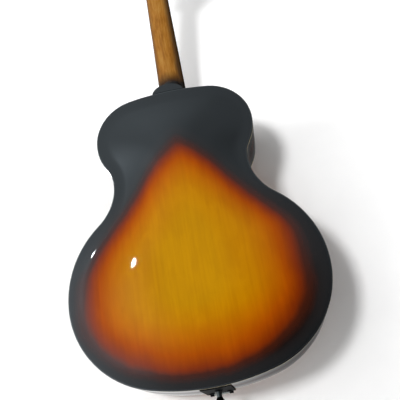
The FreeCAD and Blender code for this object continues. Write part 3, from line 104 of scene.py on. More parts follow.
BODY_LENGTH = 508.0
UPPER_WIDTH, WAIST_WIDTH, LOWER_WIDTH = 271.0, 227.0, 406.0
UPPER_STATION, WAIST_STATION, LOWER_STATION = 83.0, 161.0, 352.0
SHOULDER_RADIUS, TAIL_RADIUS = 440.0, 364.0
UPPER_SHARE, LOWER_SHARE = 0.62, 0.64
LEDGE, ARCH_BLEND, ARCH_REACH = 9.0, 30.0, 110.0
GROOVE_DEPTH, GROOVE_STATION, GROOVE_WIDTH = 0.8, 22.0, 7.0
TOP_ARCH, BACK_ARCH = 15.0, 17.0
TOP_THICKNESS, BACK_THICKNESS = 5.0, 4.5
BINDING_WIDTH, BINDING_CORNER = 2.2, 1.3
RIB_THICKNESS, GLUE_GAP = 2.5, 0.05

BODY_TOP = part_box("back_binding")[1].z / MM
FRONT_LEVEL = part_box("top_binding")[0].y / MM
BACK_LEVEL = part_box("back_binding")[1].y / MM
BRIDGE_HEIGHT = (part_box("bridge_saddle")[0].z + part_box("bridge_saddle")[1].z) / 2 / MM


# Meshes

DOUBLE_REACH, SLIVER_REACH = 1e-6, 1e-7
CRISP_ANGLE, CUT_ANGLE = math.radians(40), math.radians(30)


def make_piece(name, points, faces, body, node=None, smooth=True):
    """Mesh piece of points in millimetres.

    It rides on a body, if one is given, and may stand for a CAD node.
    """
    mesh = bpy.data.meshes.new(name)
    mesh.from_pydata((np.asarray(points) * MM).tolist(), [], faces)
    mesh.polygons.foreach_set("use_smooth", np.full(len(mesh.polygons), smooth))
    mesh.update()
    piece = bpy.data.objects.new(name, mesh)
    bpy.context.scene.collection.objects.link(piece)
    if body:
        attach(piece, body)
    if node:
        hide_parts(node)
        stand_ins.setdefault(node, []).append(piece)
    return piece


def grid_faces(rows, columns, around=False, start=0, flip=False):
    """Quads of a grid of points stored row by row; around joins the last column to the first."""
    last = columns if around else columns - 1
    row, column = np.meshgrid(np.arange(rows - 1), np.arange(last), indexing="ij")
    beside = (column + 1) % columns
    here, below = row * columns, (row + 1) * columns
    quads = np.stack([here + column, here + beside, below + beside, below + column], -1)
    quads = quads.reshape(-1, 4) + start
    return (quads[:, ::-1] if flip else quads).tolist()


def tidy_mesh(piece):
    """Joins double points, turns faces outwards and keeps edges crisp beyond an angle."""
    shape = bmesh.new()
    shape.from_mesh(piece.data)
    bmesh.ops.remove_doubles(shape, verts=shape.verts, dist=DOUBLE_REACH)
    bmesh.ops.dissolve_degenerate(shape, edges=shape.edges, dist=SLIVER_REACH)
    bmesh.ops.recalc_face_normals(shape, faces=shape.faces)
    shape.to_mesh(piece.data)
    shape.free()
    piece.data.set_sharp_from_angle(angle=CRISP_ANGLE)


def store(piece, name, values):
    """Keeps one number for each point of a piece, for its finish to read."""
    layer = piece.data.attributes.new(name, "FLOAT", "POINT")
    layer.data.foreach_set("value", np.asarray(values, np.float32))


def read(items, name, kind, width=1):
    """One value, or a row of values, for each item of a mesh."""
    values = np.zeros(len(items) * width, kind)
    items.foreach_get(name, values)
    return values.reshape(-1, width) if width > 1 else values


def mesh_points(piece):
    """Points of a piece in millimetres, one row each."""
    return read(piece.data.vertices, "co", np.float32, 3).astype(float) / MM


def unit(vectors):
    """Vectors of length 1 in the direction of the given ones."""
    return vectors / np.linalg.norm(vectors, axis=-1, keepdims=True)


def sweep(ring, name, node, profile, closed):
    """Profile of insets and levels carried along the outline.

    Each point is the rim point moved inwards along the rim's normal by the inset, at the level.
    """
    rim, outward = ring
    inset, level = np.asarray(profile, float).T
    place = rim[:, None, :] - outward[:, None, :] * inset[None, :, None]
    points = np.stack([place[..., 0], np.broadcast_to(level, place.shape[:2]),
                       BODY_TOP - place[..., 1]], -1).reshape(-1, 3)
    rows, columns = len(rim), len(inset)
    faces = grid_faces(rows, columns, around=True)
    end = (rows - 1) * columns
    if closed:
        faces += [[end + i, end + (i + 1) % columns, (i + 1) % columns, i] for i in range(columns)]
    else:
        faces += [list(range(columns)), list(range(rows * columns - 1, end - 1, -1))]
    piece = make_piece(name, points, faces, "guitar", node)
    tidy_mesh(piece)
    return piece


# Outline and carving

RIM_COUNT, RING_COUNT, RIB_COUNT = 320, 420, 220
NEAREST_SQUARE = 1e-3


def end_radius(radius, rise, width):
    """Radius of the bout arc between the widest place and an end arc on the centre line."""
    return (2 * radius * rise - rise ** 2 - width ** 2 / 4) / (2 * radius - width)


def waist_pair(width, station, share):
    """Bout arc and waist arc, both upright at their ends; the share divides the radii's sum."""
    aside = (width - WAIST_WIDTH) / 2
    total = (aside ** 2 + (WAIST_STATION - station) ** 2) / (2 * aside)
    return ((width / 2 - total * share, station), total * share,
            (WAIST_WIDTH / 2 + total * (1 - share), WAIST_STATION), total * (1 - share))


def outline_arcs():
    """Arcs of the treble half, neck to tail: centre, radius, bulge, first angle and last angle."""
    upper = end_radius(SHOULDER_RADIUS, UPPER_STATION, UPPER_WIDTH)
    lower = end_radius(TAIL_RADIUS, BODY_LENGTH - LOWER_STATION, LOWER_WIDTH)
    upper_center = (UPPER_WIDTH / 2 - upper, UPPER_STATION)
    lower_center = (LOWER_WIDTH / 2 - lower, LOWER_STATION)
    shoulder = (0.0, SHOULDER_RADIUS)
    tail = (0.0, BODY_LENGTH - TAIL_RADIUS)
    high_bout, high, high_waist, high_inner = waist_pair(UPPER_WIDTH, UPPER_STATION, UPPER_SHARE)
    low_bout, low, low_waist, low_inner = waist_pair(LOWER_WIDTH, LOWER_STATION, LOWER_SHARE)

    def heading(start, end):
        return math.atan2(end[1] - start[1], end[0] - start[0])

    return (
        (shoulder, SHOULDER_RADIUS, 1, -math.pi / 2, heading(shoulder, upper_center)),
        (upper_center, upper, 1, heading(shoulder, upper_center), 0.0),
        (high_bout, high, 1, 0.0, heading(high_bout, high_waist)),
        (high_waist, high_inner, -1, heading(high_waist, high_bout) % (2 * math.pi), math.pi),
        (low_waist, low_inner, -1, math.pi, heading(low_waist, low_bout) % (2 * math.pi)),
        (low_bout, low, 1, heading(low_bout, low_waist), 0.0),
        (lower_center, lower, 1, 0.0, heading(tail, lower_center)),
        (tail, TAIL_RADIUS, 1, heading(tail, lower_center), math.pi / 2),
    )


ARCS = outline_arcs()


def half_outline(count):
    """Points and outward normals of the treble half, evenly spaced by the length of the rim."""
    center = np.array([arc[0] for arc in ARCS])
    radius, bulge, first, last = np.array([arc[1:] for arc in ARCS]).T
    length = radius * np.abs(last - first)
    reach = np.concatenate([[0], np.cumsum(length)])
    walk = np.linspace(0, reach[-1], count)
    arc = np.clip(np.searchsorted(reach, walk, side="right") - 1, 0, len(ARCS) - 1)
    angle = first[arc] + (last - first)[arc] * (walk - reach[arc]) / length[arc]
    ray = np.stack([np.cos(angle), np.sin(angle)], -1)
    return center[arc] + ray * radius[arc][:, None], ray * bulge[arc][:, None]


def mirrored(ring):
    """The bass half of the outline."""
    flip = np.array([-1.0, 1.0])
    return ring[0] * flip, ring[1] * flip


def whole_outline(count):
    """Points and outward normals of the whole outline, treble side down and bass side up."""
    treble = half_outline(count)
    bass = mirrored(treble)
    return tuple(np.concatenate([right, left[-2:0:-1]]) for right, left in zip(treble, bass))


RIM = whole_outline(RIM_COUNT)[0]
RIM_STEP = np.linalg.norm(RIM - np.roll(RIM, 1, 0), axis=1)


def rim_distance(across, down):
    """Distance inside the outline: the least distance to an arc whose sector holds the point."""
    best = np.full(across.shape, BODY_LENGTH)
    for (x, y), radius, bulge, first, last in ARCS:
        middle, half = (first + last) / 2, (last - first) / 2
        aside, along = np.abs(across) - x, down - y
        reach = np.hypot(aside, along)
        facing = aside * math.cos(middle) + along * math.sin(middle)
        inside = bulge * (radius - reach)
        nearer = np.abs(inside) < np.abs(best)
        best = np.where((facing >= reach * math.cos(half)) & nearer, inside, best)
    return best


def smooth_step(share):
    """Rises from 0 to 1 without a corner."""
    share = np.clip(share, 0, 1)
    return share * share * (3 - 2 * share)


def depth_inside(across, down):
    """Distance from the rim that rounds off towards the middle of each bout.

    Further in it is the distance at which a straight rim would give the same sum of inverse fourth
    powers of the distances to all rim points.
    """
    near = rim_distance(across, down)
    square = ((across[..., None] - RIM[:, 0]) ** 2 + (down[..., None] - RIM[:, 1]) ** 2)
    total = (RIM_STEP / np.maximum(square, NEAREST_SQUARE) ** 2).sum(-1)
    far = (2 / math.pi * total) ** (-1 / 3)
    return near + (far - near) * smooth_step((near - LEDGE) / ARCH_BLEND)


def arch_height(across, down, arch, carved=1.0):
    """Carving over the edge: a squared sine swell less a bell-shaped groove along the rim.

    The groove is taken at the share carved.
    """
    inside = depth_inside(across, down)
    share = np.clip((inside - LEDGE) / (ARCH_REACH - LEDGE), 0, 1)
    groove = carved * GROOVE_DEPTH * np.exp(-((inside - GROOVE_STATION) / GROOVE_WIDTH) ** 2)
    return arch * np.sin(math.pi / 2 * share) ** 2 - groove


PLATE_AROUND, PLATE_INWARD, RIM_CROWDING = 260, 46, 1.25
SPINE_HIGH, SPINE_LOW = 110.0, 350.0


def carved_plate(node, level, facing, arch, thickness):
    """Carved plate: each rim point is drawn in a straight line to the nearest place on the spine.

    The share of that line is squeezed towards the rim, and the carving gives the height.
    """
    rim, outward = whole_outline(PLATE_AROUND)
    rim = rim - outward * (BINDING_WIDTH + GLUE_GAP)
    spine = np.stack([np.zeros(len(rim)), np.clip(rim[:, 1], SPINE_HIGH, SPINE_LOW)], -1)
    share = np.linspace(0, 1, PLATE_INWARD)[:, None, None] ** RIM_CROWDING
    place = rim * (1 - share) + spine * share
    across, down = place[..., 0], place[..., 1]
    height = np.stack([arch_height(*row, arch) for row in zip(across, down)])
    outer = np.stack([across, level + facing * height, BODY_TOP - down], -1).reshape(-1, 3)
    inner = outer - np.array([0, facing * thickness, 0])
    count, columns = len(outer), len(rim)
    faces = grid_faces(PLATE_INWARD, columns, around=True)
    faces += grid_faces(PLATE_INWARD, columns, around=True, start=count, flip=True)
    faces += [[i, count + i, count + (i + 1) % columns, (i + 1) % columns] for i in range(columns)]
    points = np.concatenate([outer, inner])
    piece = make_piece("carved_" + node, points, faces, "guitar", node)
    tidy_mesh(piece)
    return piece


back_plate = carved_plate("back_plate", BACK_LEVEL, 1, BACK_ARCH, BACK_THICKNESS)
top_plate = carved_plate("top_plate", FRONT_LEVEL, -1, TOP_ARCH, TOP_THICKNESS)


# Sound holes

HOLE_OFFSET, HOLE_STEM, HOLE_SLANT, HOLE_HOOK = 90.0, 100.0, math.radians(9.0), 8.5
HOLE_HALF_SLOT, HOLE_HALF_WAIST = 2.3, 4.75
UPPER_EYE, LOWER_EYE = 5.5, 7.0
HOLE_STEPS, EYE_SIDES = 24, 40


def sound_hole_path(steps):
    """Middle line and half width of an f-shaped hole, from eye to eye.

    The line is a half circle, a slanted stem and a half circle; the stem swells in its middle.
    """
    rise = HOLE_STEM / 2
    lean = math.tan(HOLE_SLANT) * rise
    turn = np.linspace(math.pi, 0, steps)
    upper = np.stack([HOLE_HOOK * np.cos(turn) - lean - HOLE_HOOK,
                      HOLE_HOOK * np.sin(turn) + rise], -1)
    run = np.linspace(0, 1, steps)[:, None]
    stem = np.array([[-lean, rise]]) * (1 - run) + np.array([[lean, -rise]]) * run
    line = np.concatenate([upper, stem[1:-1], -upper[::-1]])
    width = np.full(len(line), HOLE_HALF_SLOT)
    swell = np.sin(math.pi * run[1:-1, 0]) ** 2
    width[steps:-steps] += (HOLE_HALF_WAIST - HOLE_HALF_SLOT) * swell
    return line, width


def prism_faces(count, start):
    """Faces of a closed loop of points and its copy further on."""
    end = start + count
    sides = [[start + i, start + (i + 1) % count, end + (i + 1) % count, end + i]
             for i in range(count)]
    return sides + [list(range(end - 1, start - 1, -1)), list(range(end, end + count))]


def cut_sound_holes(plate):
    """Cuts both f-shaped holes: a stroke of changing width, with a round eye at each end."""
    line, width = sound_hole_path(HOLE_STEPS)
    along = np.gradient(line, axis=0)
    aside = unit(np.stack([-along[:, 1], along[:, 0]], -1)) * width[:, None]
    stroke = np.concatenate([line + aside, (line - aside)[::-1]])
    turn = np.linspace(0, 2 * math.pi, EYE_SIDES, endpoint=False)
    circle = np.stack([np.cos(turn), np.sin(turn)], -1)
    loops = [stroke, line[0] + circle * UPPER_EYE, line[-1] + circle * LOWER_EYE]
    points, faces = [], []
    for side in (-1, 1):
        for loop in loops:
            start = sum(len(part) for part in points)
            x, z = side * (HOLE_OFFSET + loop[:, 0]), BRIDGE_HEIGHT + loop[:, 1]
            points += [np.stack([x, np.full(len(x), level), z], -1)
                       for level in (FRONT_LEVEL - 2 * TOP_ARCH, FRONT_LEVEL + TOP_ARCH)]
            faces += prism_faces(len(loop), start)
    points = np.concatenate(points)
    cutter = make_piece("sound_hole_cutter", points, faces, "guitar", smooth=False)
    tidy_mesh(cutter)
    cut = plate.modifiers.new("sound_holes", "BOOLEAN")
    cut.object = cutter
    cut.operation = "DIFFERENCE"
    cut.solver = "EXACT"
    cut.use_self = True
    shown = plate.evaluated_get(bpy.context.evaluated_depsgraph_get())
    done = bpy.data.meshes.new_from_object(shown)
    plate.modifiers.clear()
    plate.data = done
    bpy.data.objects.remove(cutter)
    plate.data.set_sharp_from_angle(angle=CUT_ANGLE)


cut_sound_holes(top_plate)


# Normals and colour distances of the plates

SHOWN_GROOVE = 0.4
SLOPE_STEP, NORMAL_SLICES, CARVED_FACE = 0.5, 64, 0.6
DROP_TIP, DROP_TIP_ROUNDING = (-1.5, 107.0), 13.0
DROP_HALF_ANGLE = math.radians(40.0)
DROP_OVAL, DROP_OVAL_HALVES = (8.5, 370.0), (162.5, 109.0)
DROP_CORNER = 14.0
DROP_SPREAD, DROP_SPREAD_FROM, DROP_SPREAD_RUN = 0.4, 360.0, 90.0
GLOW_LOWER, GLOW_LOWER_HALVES = 330.0, (150.0, 150.0)
GLOW_UPPER, GLOW_UPPER_HALVES = 150.0, (74.0, 120.0)
GLOW_CORNER = 60.0


def carved_normals(plate, arch, facing):
    """Gives the carved faces the normals of the formula, so that the gloss runs evenly to every
    edge; the groove shows fainter, as under thick lacquer."""
    points = mesh_points(plate)
    across, down = points[:, 0], BODY_TOP - points[:, 2]
    slices = np.array_split(np.arange(len(points)), NORMAL_SLICES)

    def height(aside, along):
        return np.concatenate([arch_height(across[part] + aside, down[part] + along, arch,
                                           SHOWN_GROOVE) for part in slices])

    def slope(aside, along):
        return (height(aside, along) - height(-aside, -along)) / (2 * SLOPE_STEP)

    lean = np.stack([-slope(SLOPE_STEP, 0), np.ones(len(points)), slope(0, SLOPE_STEP)], -1)
    normal = unit(lean * np.array([1.0, facing, 1.0]))
    mesh = plate.data
    corner = read(mesh.loops, "vertex_index", np.int32)
    face_normal = read(mesh.polygons, "normal", np.float32, 3)
    owner = np.repeat(np.arange(len(mesh.polygons)), read(mesh.polygons, "loop_total", np.int32))
    outwards = face_normal[owner, 1][:, None] * facing
    inner = np.where(outwards < -CARVED_FACE, -normal[corner], face_normal[owner])
    chosen = np.where(outwards > CARVED_FACE, normal[corner], inner)
    mesh.normals_split_custom_set(chosen.tolist())


def oval_distance(across, down, halves):
    """Signed distance from an oval about the origin, stretched as the oval is."""
    return (np.hypot(across / halves[0], down / halves[1]) - 1) * min(halves)


def drop_distance(across, down):
    """Signed distance in millimetres from the edge of the amber drop, negative inside it.

    The drop is a wedge that opens downwards from a rounded tip, closed below by half an oval; the
    larger of the two distances is taken, with the corner between them rounded. Low in the drop the
    distance is shortened, so that the colours spread wider there.
    """
    aside = np.hypot(across - DROP_TIP[0], DROP_TIP_ROUNDING)
    wedge = aside * math.cos(DROP_HALF_ANGLE) - (down - DROP_TIP[1]) * math.sin(DROP_HALF_ANGLE)
    oval = oval_distance(across - DROP_OVAL[0], np.maximum(down - DROP_OVAL[1], 0),
                         DROP_OVAL_HALVES)
    distance = (wedge + oval + np.hypot(wedge - oval, DROP_CORNER)) / 2
    low = smooth_step((down - DROP_SPREAD_FROM) / DROP_SPREAD_RUN)
    return np.where(distance < 0, distance * (1 - DROP_SPREAD * low), distance)


def glow_distance(across, down):
    """Signed distance from the edge of the front's amber glow: two ovals, merged roundly."""
    lower = oval_distance(across, down - GLOW_LOWER, GLOW_LOWER_HALVES)
    upper = oval_distance(across, down - GLOW_UPPER, GLOW_UPPER_HALVES)
    return (lower + upper - np.hypot(lower - upper, GLOW_CORNER)) / 2


for plate, arch, facing, distance in ((back_plate, BACK_ARCH, 1, drop_distance),
                                      (top_plate, TOP_ARCH, -1, glow_distance)):
    carved_normals(plate, arch, facing)
    spot = mesh_points(plate)
    store(plate, "burst", distance(spot[:, 0], BODY_TOP - spot[:, 2]))


# Ribs and binding

CORNER_STEPS, RIB_ROWS = 6, 17
RIB_MIDDLE_BURST, RIB_EDGE_BURST = 9, 30


def rounded_band(depth, radius):
    """Section of the binding: a strip whose outer corner is a quarter circle; insets and depths."""
    turn = np.linspace(math.pi / 2, 0, CORNER_STEPS)
    corner = np.stack([radius - radius * np.cos(turn), radius - radius * np.sin(turn)], -1)
    return np.concatenate([[[BINDING_WIDTH, 0.0]], corner, [[0.0, depth], [BINDING_WIDTH, depth]]])


RING = whole_outline(RING_COUNT)
for name, level, facing, depth in (("top_binding", FRONT_LEVEL, 1, TOP_THICKNESS),
                                   ("back_binding", BACK_LEVEL, -1, BACK_THICKNESS)):
    section = rounded_band(depth, BINDING_CORNER)
    section[:, 1] = level + facing * section[:, 1]
    sweep(RING, "rounded_" + name, name, section, closed=True)

RIB_FRONT = FRONT_LEVEL + TOP_THICKNESS + GLUE_GAP
RIB_BACK = BACK_LEVEL - BACK_THICKNESS - GLUE_GAP
RIB_SECTION = np.concatenate([
    np.stack([np.zeros(RIB_ROWS), np.linspace(RIB_FRONT, RIB_BACK, RIB_ROWS)], -1),
    [[RIB_THICKNESS, RIB_BACK], [RIB_THICKNESS, RIB_FRONT]]])
TREBLE_HALF = half_outline(RIB_COUNT)
for name, ring in (("treble_rib", TREBLE_HALF), ("bass_rib", mirrored(TREBLE_HALF))):
    rib = sweep(ring, "bent_" + name, name, RIB_SECTION, closed=False)
    level = (mesh_points(rib)[:, 1] - RIB_FRONT) / (RIB_BACK - RIB_FRONT)
    store(rib, "burst", RIB_MIDDLE_BURST + RIB_EDGE_BURST * (2 * level - 1) ** 2)


# Neck frame, frets and strings: sizes taken over from the solid model

NECK_ANGLE, HEAD_ANGLE = math.radians(-4), math.radians(-14)
NUT_LENGTH = 5.0
NECK_TURN = np.array(Matrix.Rotation(NECK_ANGLE, 3, "X"))
HEAD_TURN = NECK_TURN @ np.array(Matrix.Rotation(HEAD_ANGLE, 3, "X"))
HEAD_ORIGIN = NECK_TURN @ np.array([0.0, 0.0, NUT_LENGTH])
SCALE_LENGTH, JOINT_STATION = 628.65, 348.62
BOARD_THICKNESS, BOARD_RADIUS = 6.0, 305.0
BOARD_NUT_WIDTH, BOARD_FLARE = 43.0, 11.0
FRET_COUNT, FRET_WIDTH, FRET_HEIGHT, FRET_INSET = 20, 2.3, 1.1, 0.3
FRET_END, FRET_END_SHARE = 1.2, 0.12
FRET_ROWS, FRET_SIDES = 25, 9
GAUGES = (0.33, 0.43, 0.61, 0.81, 1.07, 1.32)
NUT_SPREAD, BRIDGE_SPREAD, TAIL_SPREAD = 36.0, 52.0, 50.0
NUT_ACTION, BRIDGE_ACTION = 0.3, 4.1
STRING_GAP, WINDING_GAP, STRING_TURNS = 0.08, 0.5, 3
TUNER_PLACES = ((1, 48), (1, 90), (1, 132), (-1, 132), (-1, 90), (-1, 48))
TUNER_OFFSET, POST_RADIUS = 24.0, 3.1
VENEER_THICKNESS, BUSHING_FLANGE, WINDING_RISE = 1.5, 1.5, 5.0
WINDING_LEVEL = -(VENEER_THICKNESS + BUSHING_FLANGE + WINDING_RISE)
TAILPIECE_LENGTH, TAILPIECE_BAR_RADIUS, BALL_RADIUS = 104.0, 4.5, 2.0
HINGE_STANDOFF, BRACKET_THICKNESS = 6.5, 1.6
TAIL_ROWS, NECK_ROWS, HEAD_ROWS, COIL_ROWS = 8, 40, 10, 150
STRING_SIDES, BALL_ROWS, BALL_SIDES = 10, 9, 16


def on_neck(points):
    """Points of the neck frame in the main frame."""
    return points @ NECK_TURN.T


def on_headstock(points):
    """Points of the headstock frame in the main frame."""
    return points @ HEAD_TURN.T + HEAD_ORIGIN


def edge_fall(across):
    """How much lower the rounded playing surface is away from its centre line."""
    return BOARD_RADIUS - np.sqrt(BOARD_RADIUS ** 2 - across ** 2)


HINGE = np.array([0.0, FRONT_LEVEL - HINGE_STANDOFF,
                  BODY_TOP - BODY_LENGTH - BRACKET_THICKNESS / 2])
CREST = on_neck(np.array([0.0, -(BOARD_THICKNESS + FRET_HEIGHT + BRIDGE_ACTION), -SCALE_LENGTH]))


def fret_wires():
    """Fret wires: half an oval carried across the rounded fretboard, sinking low at both ends."""
    turn = np.linspace(0, math.pi, FRET_SIDES)
    points, faces = [], []
    for fret in range(1, FRET_COUNT + 1):
        station = SCALE_LENGTH * (1 - 2 ** (-fret / 12))
        half = (BOARD_NUT_WIDTH + BOARD_FLARE * station / JOINT_STATION) / 2 - FRET_INSET
        across = half * np.sin(np.linspace(-math.pi / 2, math.pi / 2, FRET_ROWS))
        outer = np.clip(np.abs(across) - half + FRET_END, 0, FRET_END) / FRET_END
        crown = np.sqrt(np.clip(1 - outer ** 2, 0, 1))
        crown = FRET_END_SHARE + (1 - FRET_END_SHARE) * crown
        rise = FRET_HEIGHT * crown[:, None] * np.sin(turn)
        level = edge_fall(across)[:, None] - BOARD_THICKNESS - rise
        along = -station + FRET_WIDTH / 2 * np.cos(turn)
        grid = np.stack([np.broadcast_to(across[:, None], level.shape), level,
                         np.broadcast_to(along, level.shape)], -1).reshape(-1, 3)
        start = len(points) * len(grid)
        end = start + len(grid)
        faces += grid_faces(FRET_ROWS, FRET_SIDES, start=start)
        faces += [list(range(start, start + FRET_SIDES)),
                  list(range(end - 1, end - FRET_SIDES - 1, -1))]
        points.append(grid)
    points = on_neck(np.concatenate(points))
    tidy_mesh(make_piece("domed_frets", points, faces, "guitar", "frets"))


fret_wires()


def straight(first, last, rows):
    """Evenly spaced points from one place to another, without the last one."""
    return (first + (last - first) * np.linspace(0, 1, rows)[:, None])[:-1]


def string_path(number, gauge):
    """Middle line of a string, with the places of its ball and the nut.

    It runs straight from ball to saddle to nut and on to its post, then as a helix around the post.
    """
    share = ((len(GAUGES) + 1) / 2 - number) / (len(GAUGES) - 1)
    reach = TAILPIECE_LENGTH - TAILPIECE_BAR_RADIUS - BALL_RADIUS - STRING_GAP
    ball = HINGE + unit(CREST - HINGE) * reach + np.array([TAIL_SPREAD * share, 0, 0])

    def over(spread, action, station):
        across = np.array(spread * share)
        under = BOARD_THICKNESS + FRET_HEIGHT + action - edge_fall(across) + gauge / 2
        return on_neck(np.array([spread * share, -under, -station]))

    saddle = over(BRIDGE_SPREAD, BRIDGE_ACTION, SCALE_LENGTH)
    nut = over(NUT_SPREAD, NUT_ACTION, 0)
    bend = nut + unit(nut - saddle) * (NUT_LENGTH + STRING_GAP)
    side, up = TUNER_PLACES[number - 1]
    radius = POST_RADIUS + gauge / 2 + STRING_GAP
    center = np.array([side * TUNER_OFFSET, WINDING_LEVEL, up])
    local = (bend - HEAD_ORIGIN) @ HEAD_TURN
    flat = np.array([local[0], WINDING_LEVEL, local[2]])
    ahead = unit(center - flat)
    inward = np.array([-side * ahead[2], 0, side * ahead[0]])
    lean = math.asin(radius / np.linalg.norm(center - flat))
    touch = center + (inward * math.cos(lean) - ahead * math.sin(lean)) * radius
    spoke, around = unit(touch - center), unit(touch - flat)
    angle = np.linspace(0, 2 * math.pi * STRING_TURNS, COIL_ROWS)[:, None]
    coil = center + (spoke * np.cos(angle) + around * np.sin(angle)) * radius
    coil[:, 1] -= (gauge + WINDING_GAP) * angle[:, 0] / (2 * math.pi)
    coil = on_headstock(coil)
    lead = coil[0] - unit(coil[1] - coil[0]) * radius
    path = np.concatenate([straight(ball, saddle, TAIL_ROWS), straight(saddle, bend, NECK_ROWS),
                           straight(bend, lead, HEAD_ROWS), lead[None], coil])
    return path, ball, nut


def string_tube(number, gauge):
    """String: a circle carried along its path, upright to the face of the headstock, and its ball.

    It is cut at the saddle: the tail end swings with the tailpiece, which keeps it in line with the
    saddle, and the rest rides on no body. Two values are kept for the finish: the
    length along the string and the angle around it.
    """
    path, ball, nut = string_path(number, gauge)
    along = unit(np.gradient(path, axis=0))
    aside = unit(np.cross(along, HEAD_TURN @ np.array([0.0, 1.0, 0.0])))
    upright = np.cross(aside, along)
    turn = np.linspace(0, 2 * math.pi, STRING_SIDES, endpoint=False)
    ring = aside[:, None] * np.cos(turn)[:, None] + upright[:, None] * np.sin(turn)[:, None]
    rings = path[:, None] + ring * gauge / 2
    latitude = np.linspace(0, math.pi, BALL_ROWS)
    longitude = np.linspace(0, 2 * math.pi, BALL_SIDES, endpoint=False)
    globe = np.stack([np.outer(np.sin(latitude), np.cos(longitude)),
                      np.outer(np.sin(latitude), np.sin(longitude)),
                      np.outer(np.cos(latitude), np.ones(BALL_SIDES))], -1).reshape(-1, 3)
    globe = globe * BALL_RADIUS + ball
    walked = np.concatenate([[0], np.cumsum(np.linalg.norm(np.diff(path, axis=0), axis=1))])
    node = f"string_{number}"
    saddle = TAIL_ROWS - 1
    for name, rows, end, body in ((f"tail_{node}", slice(0, saddle + 1), globe, "tailpiece"),
                                  (f"taut_{node}", slice(saddle, None), globe[:0], None)):
        points = rings[rows].reshape(-1, 3)
        count = len(rings[rows])
        faces = grid_faces(count, STRING_SIDES, around=True)
        faces += [list(range(STRING_SIDES - 1, -1, -1)),
                  list(range((count - 1) * STRING_SIDES, count * STRING_SIDES))]
        if len(end):
            faces += grid_faces(BALL_ROWS, BALL_SIDES, around=True, start=len(points))
        piece = make_piece(name, np.concatenate([points, end]), faces, body, node)
        plain = np.zeros(len(end))
        store(piece, "walked", np.concatenate([np.repeat(walked[rows], STRING_SIDES), plain]))
        store(piece, "turned", np.concatenate([np.tile(turn, count), plain]))
        if body is None:
            tuple(nut * MM)
            tuple(path[saddle] * MM)
            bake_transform(piece)


for number, gauge in enumerate(GAUGES, 1):
    string_tube(number, gauge)


# Finishes

class Value:
    """One socket of a node tree; arithmetic on it adds Math nodes."""

    def __init__(self, tree, socket):
        self.tree, self.socket = tree, socket

    def node(self, kind, settings=None, inputs=None, output=0):
        """Adds a node of a type: its settings, then values or links of its sockets.

        Gives one of its outputs, if it has any.
        """
        made = self.tree.nodes.new(kind)
        for name, setting in (settings or {}).items():
            if name == "stops":
                ramp = made.color_ramp
                for index, (place, colour) in enumerate(setting):
                    stop = ramp.elements[index] if index < 2 else ramp.elements.new(place)
                    stop.position, stop.color = place, colour
            else:
                setattr(made, name, setting)
        for key, value in (inputs or {}).items():
            if isinstance(value, Value):
                self.tree.links.new(value.socket, made.inputs[key])
            else:
                made.inputs[key].default_value = value
        return Value(self.tree, made.outputs[output] if made.outputs else None)

    def math(self, operation, first, second=0.0):
        """Math node of an operation on one or two values."""
        return self.node("ShaderNodeMath", {"operation": operation}, {0: first, 1: second})

    def __add__(self, other):
        return self.math("ADD", self, other)

    def __sub__(self, other):
        return self.math("SUBTRACT", self, other)

    def __rsub__(self, other):
        return self.math("SUBTRACT", other, self)

    def __mul__(self, other):
        return self.math("MULTIPLY", self, other)

    __radd__ = __add__
    __rmul__ = __mul__


def paint(red, green, blue):
    """Screen colour of 0 to 255 as the light that a shader reads, by the sRGB curve."""
    channels = np.array([red, green, blue]) / 255
    curved = ((channels + 0.055) / 1.055) ** 2.4
    light = np.where(channels <= 0.04045, channels / 12.92, curved)
    return (*light.tolist(), 1.0)


def dimmed(colour, share):
    """A colour at a share of its light."""
    return tuple(channel * share for channel in colour[:3]) + (1.0,)


def new_finish(name, **fixed):
    """Material with one shader: fixed values go to its sockets by name.

    Gives the material, the shader and a start for its nodes.
    """
    material = bpy.data.materials.new(name)
    material.use_nodes = True
    tree = material.node_tree
    shader = tree.nodes["Principled BSDF"]
    for key, value in fixed.items():
        shader.inputs[key.replace("_", " ")].default_value = value
    return material, shader, Value(tree, None)


def link(shader, **varying):
    """Links values to the shader's sockets by name."""
    for key, value in varying.items():
        value.tree.links.new(value.socket, shader.inputs[key.replace("_", " ")])


def axes(start, letters, source="Object"):
    """Coordinates along the named axes, one value each."""
    place = start.node("ShaderNodeTexCoord", output=source)
    return [start.node("ShaderNodeSeparateXYZ", None, {0: place}, output=letter)
            for letter in letters]


def noise(start, scale, detail=4.0, rough=0.55, warp=0.0):
    """Noise between 0 and 1, in object coordinates stretched by a scale for each axis."""
    place = start.node("ShaderNodeTexCoord", output="Object")
    place = start.node("ShaderNodeMapping", None, {"Vector": place, "Scale": scale})
    return start.node("ShaderNodeTexNoise", None, {
        "Vector": place, "Scale": 1.0, "Detail": detail, "Roughness": rough, "Distortion": warp})


def attribute(start, name):
    """Number that is stored for the points of a piece."""
    return start.node("ShaderNodeAttribute", {"attribute_name": name}, output="Fac")


def mix(start, share, first, second, blend="MIX"):
    """Mix of two colours by a share."""
    return start.node("ShaderNodeMix", {"data_type": "RGBA", "blend_type": blend},
                      {0: share, 6: first, 7: second}, output=2)


def ramp(start, value, stops):
    """Colour of a value between stops of places and colours."""
    return start.node("ShaderNodeValToRGB", {"stops": stops}, {0: value})


def spread(start, value, low, high):
    """Share of a value between two limits, held at 0 and 1 beyond them, without corners."""
    return start.node("ShaderNodeMapRange", {"interpolation_type": "SMOOTHSTEP"},
                      {"Value": value, "From Min": low, "From Max": high})


def bump(start, height, strength, distance):
    """Normal of a surface that is raised by a height."""
    return start.node("ShaderNodeBump", None,
                      {"Height": height, "Strength": strength, "Distance": distance})


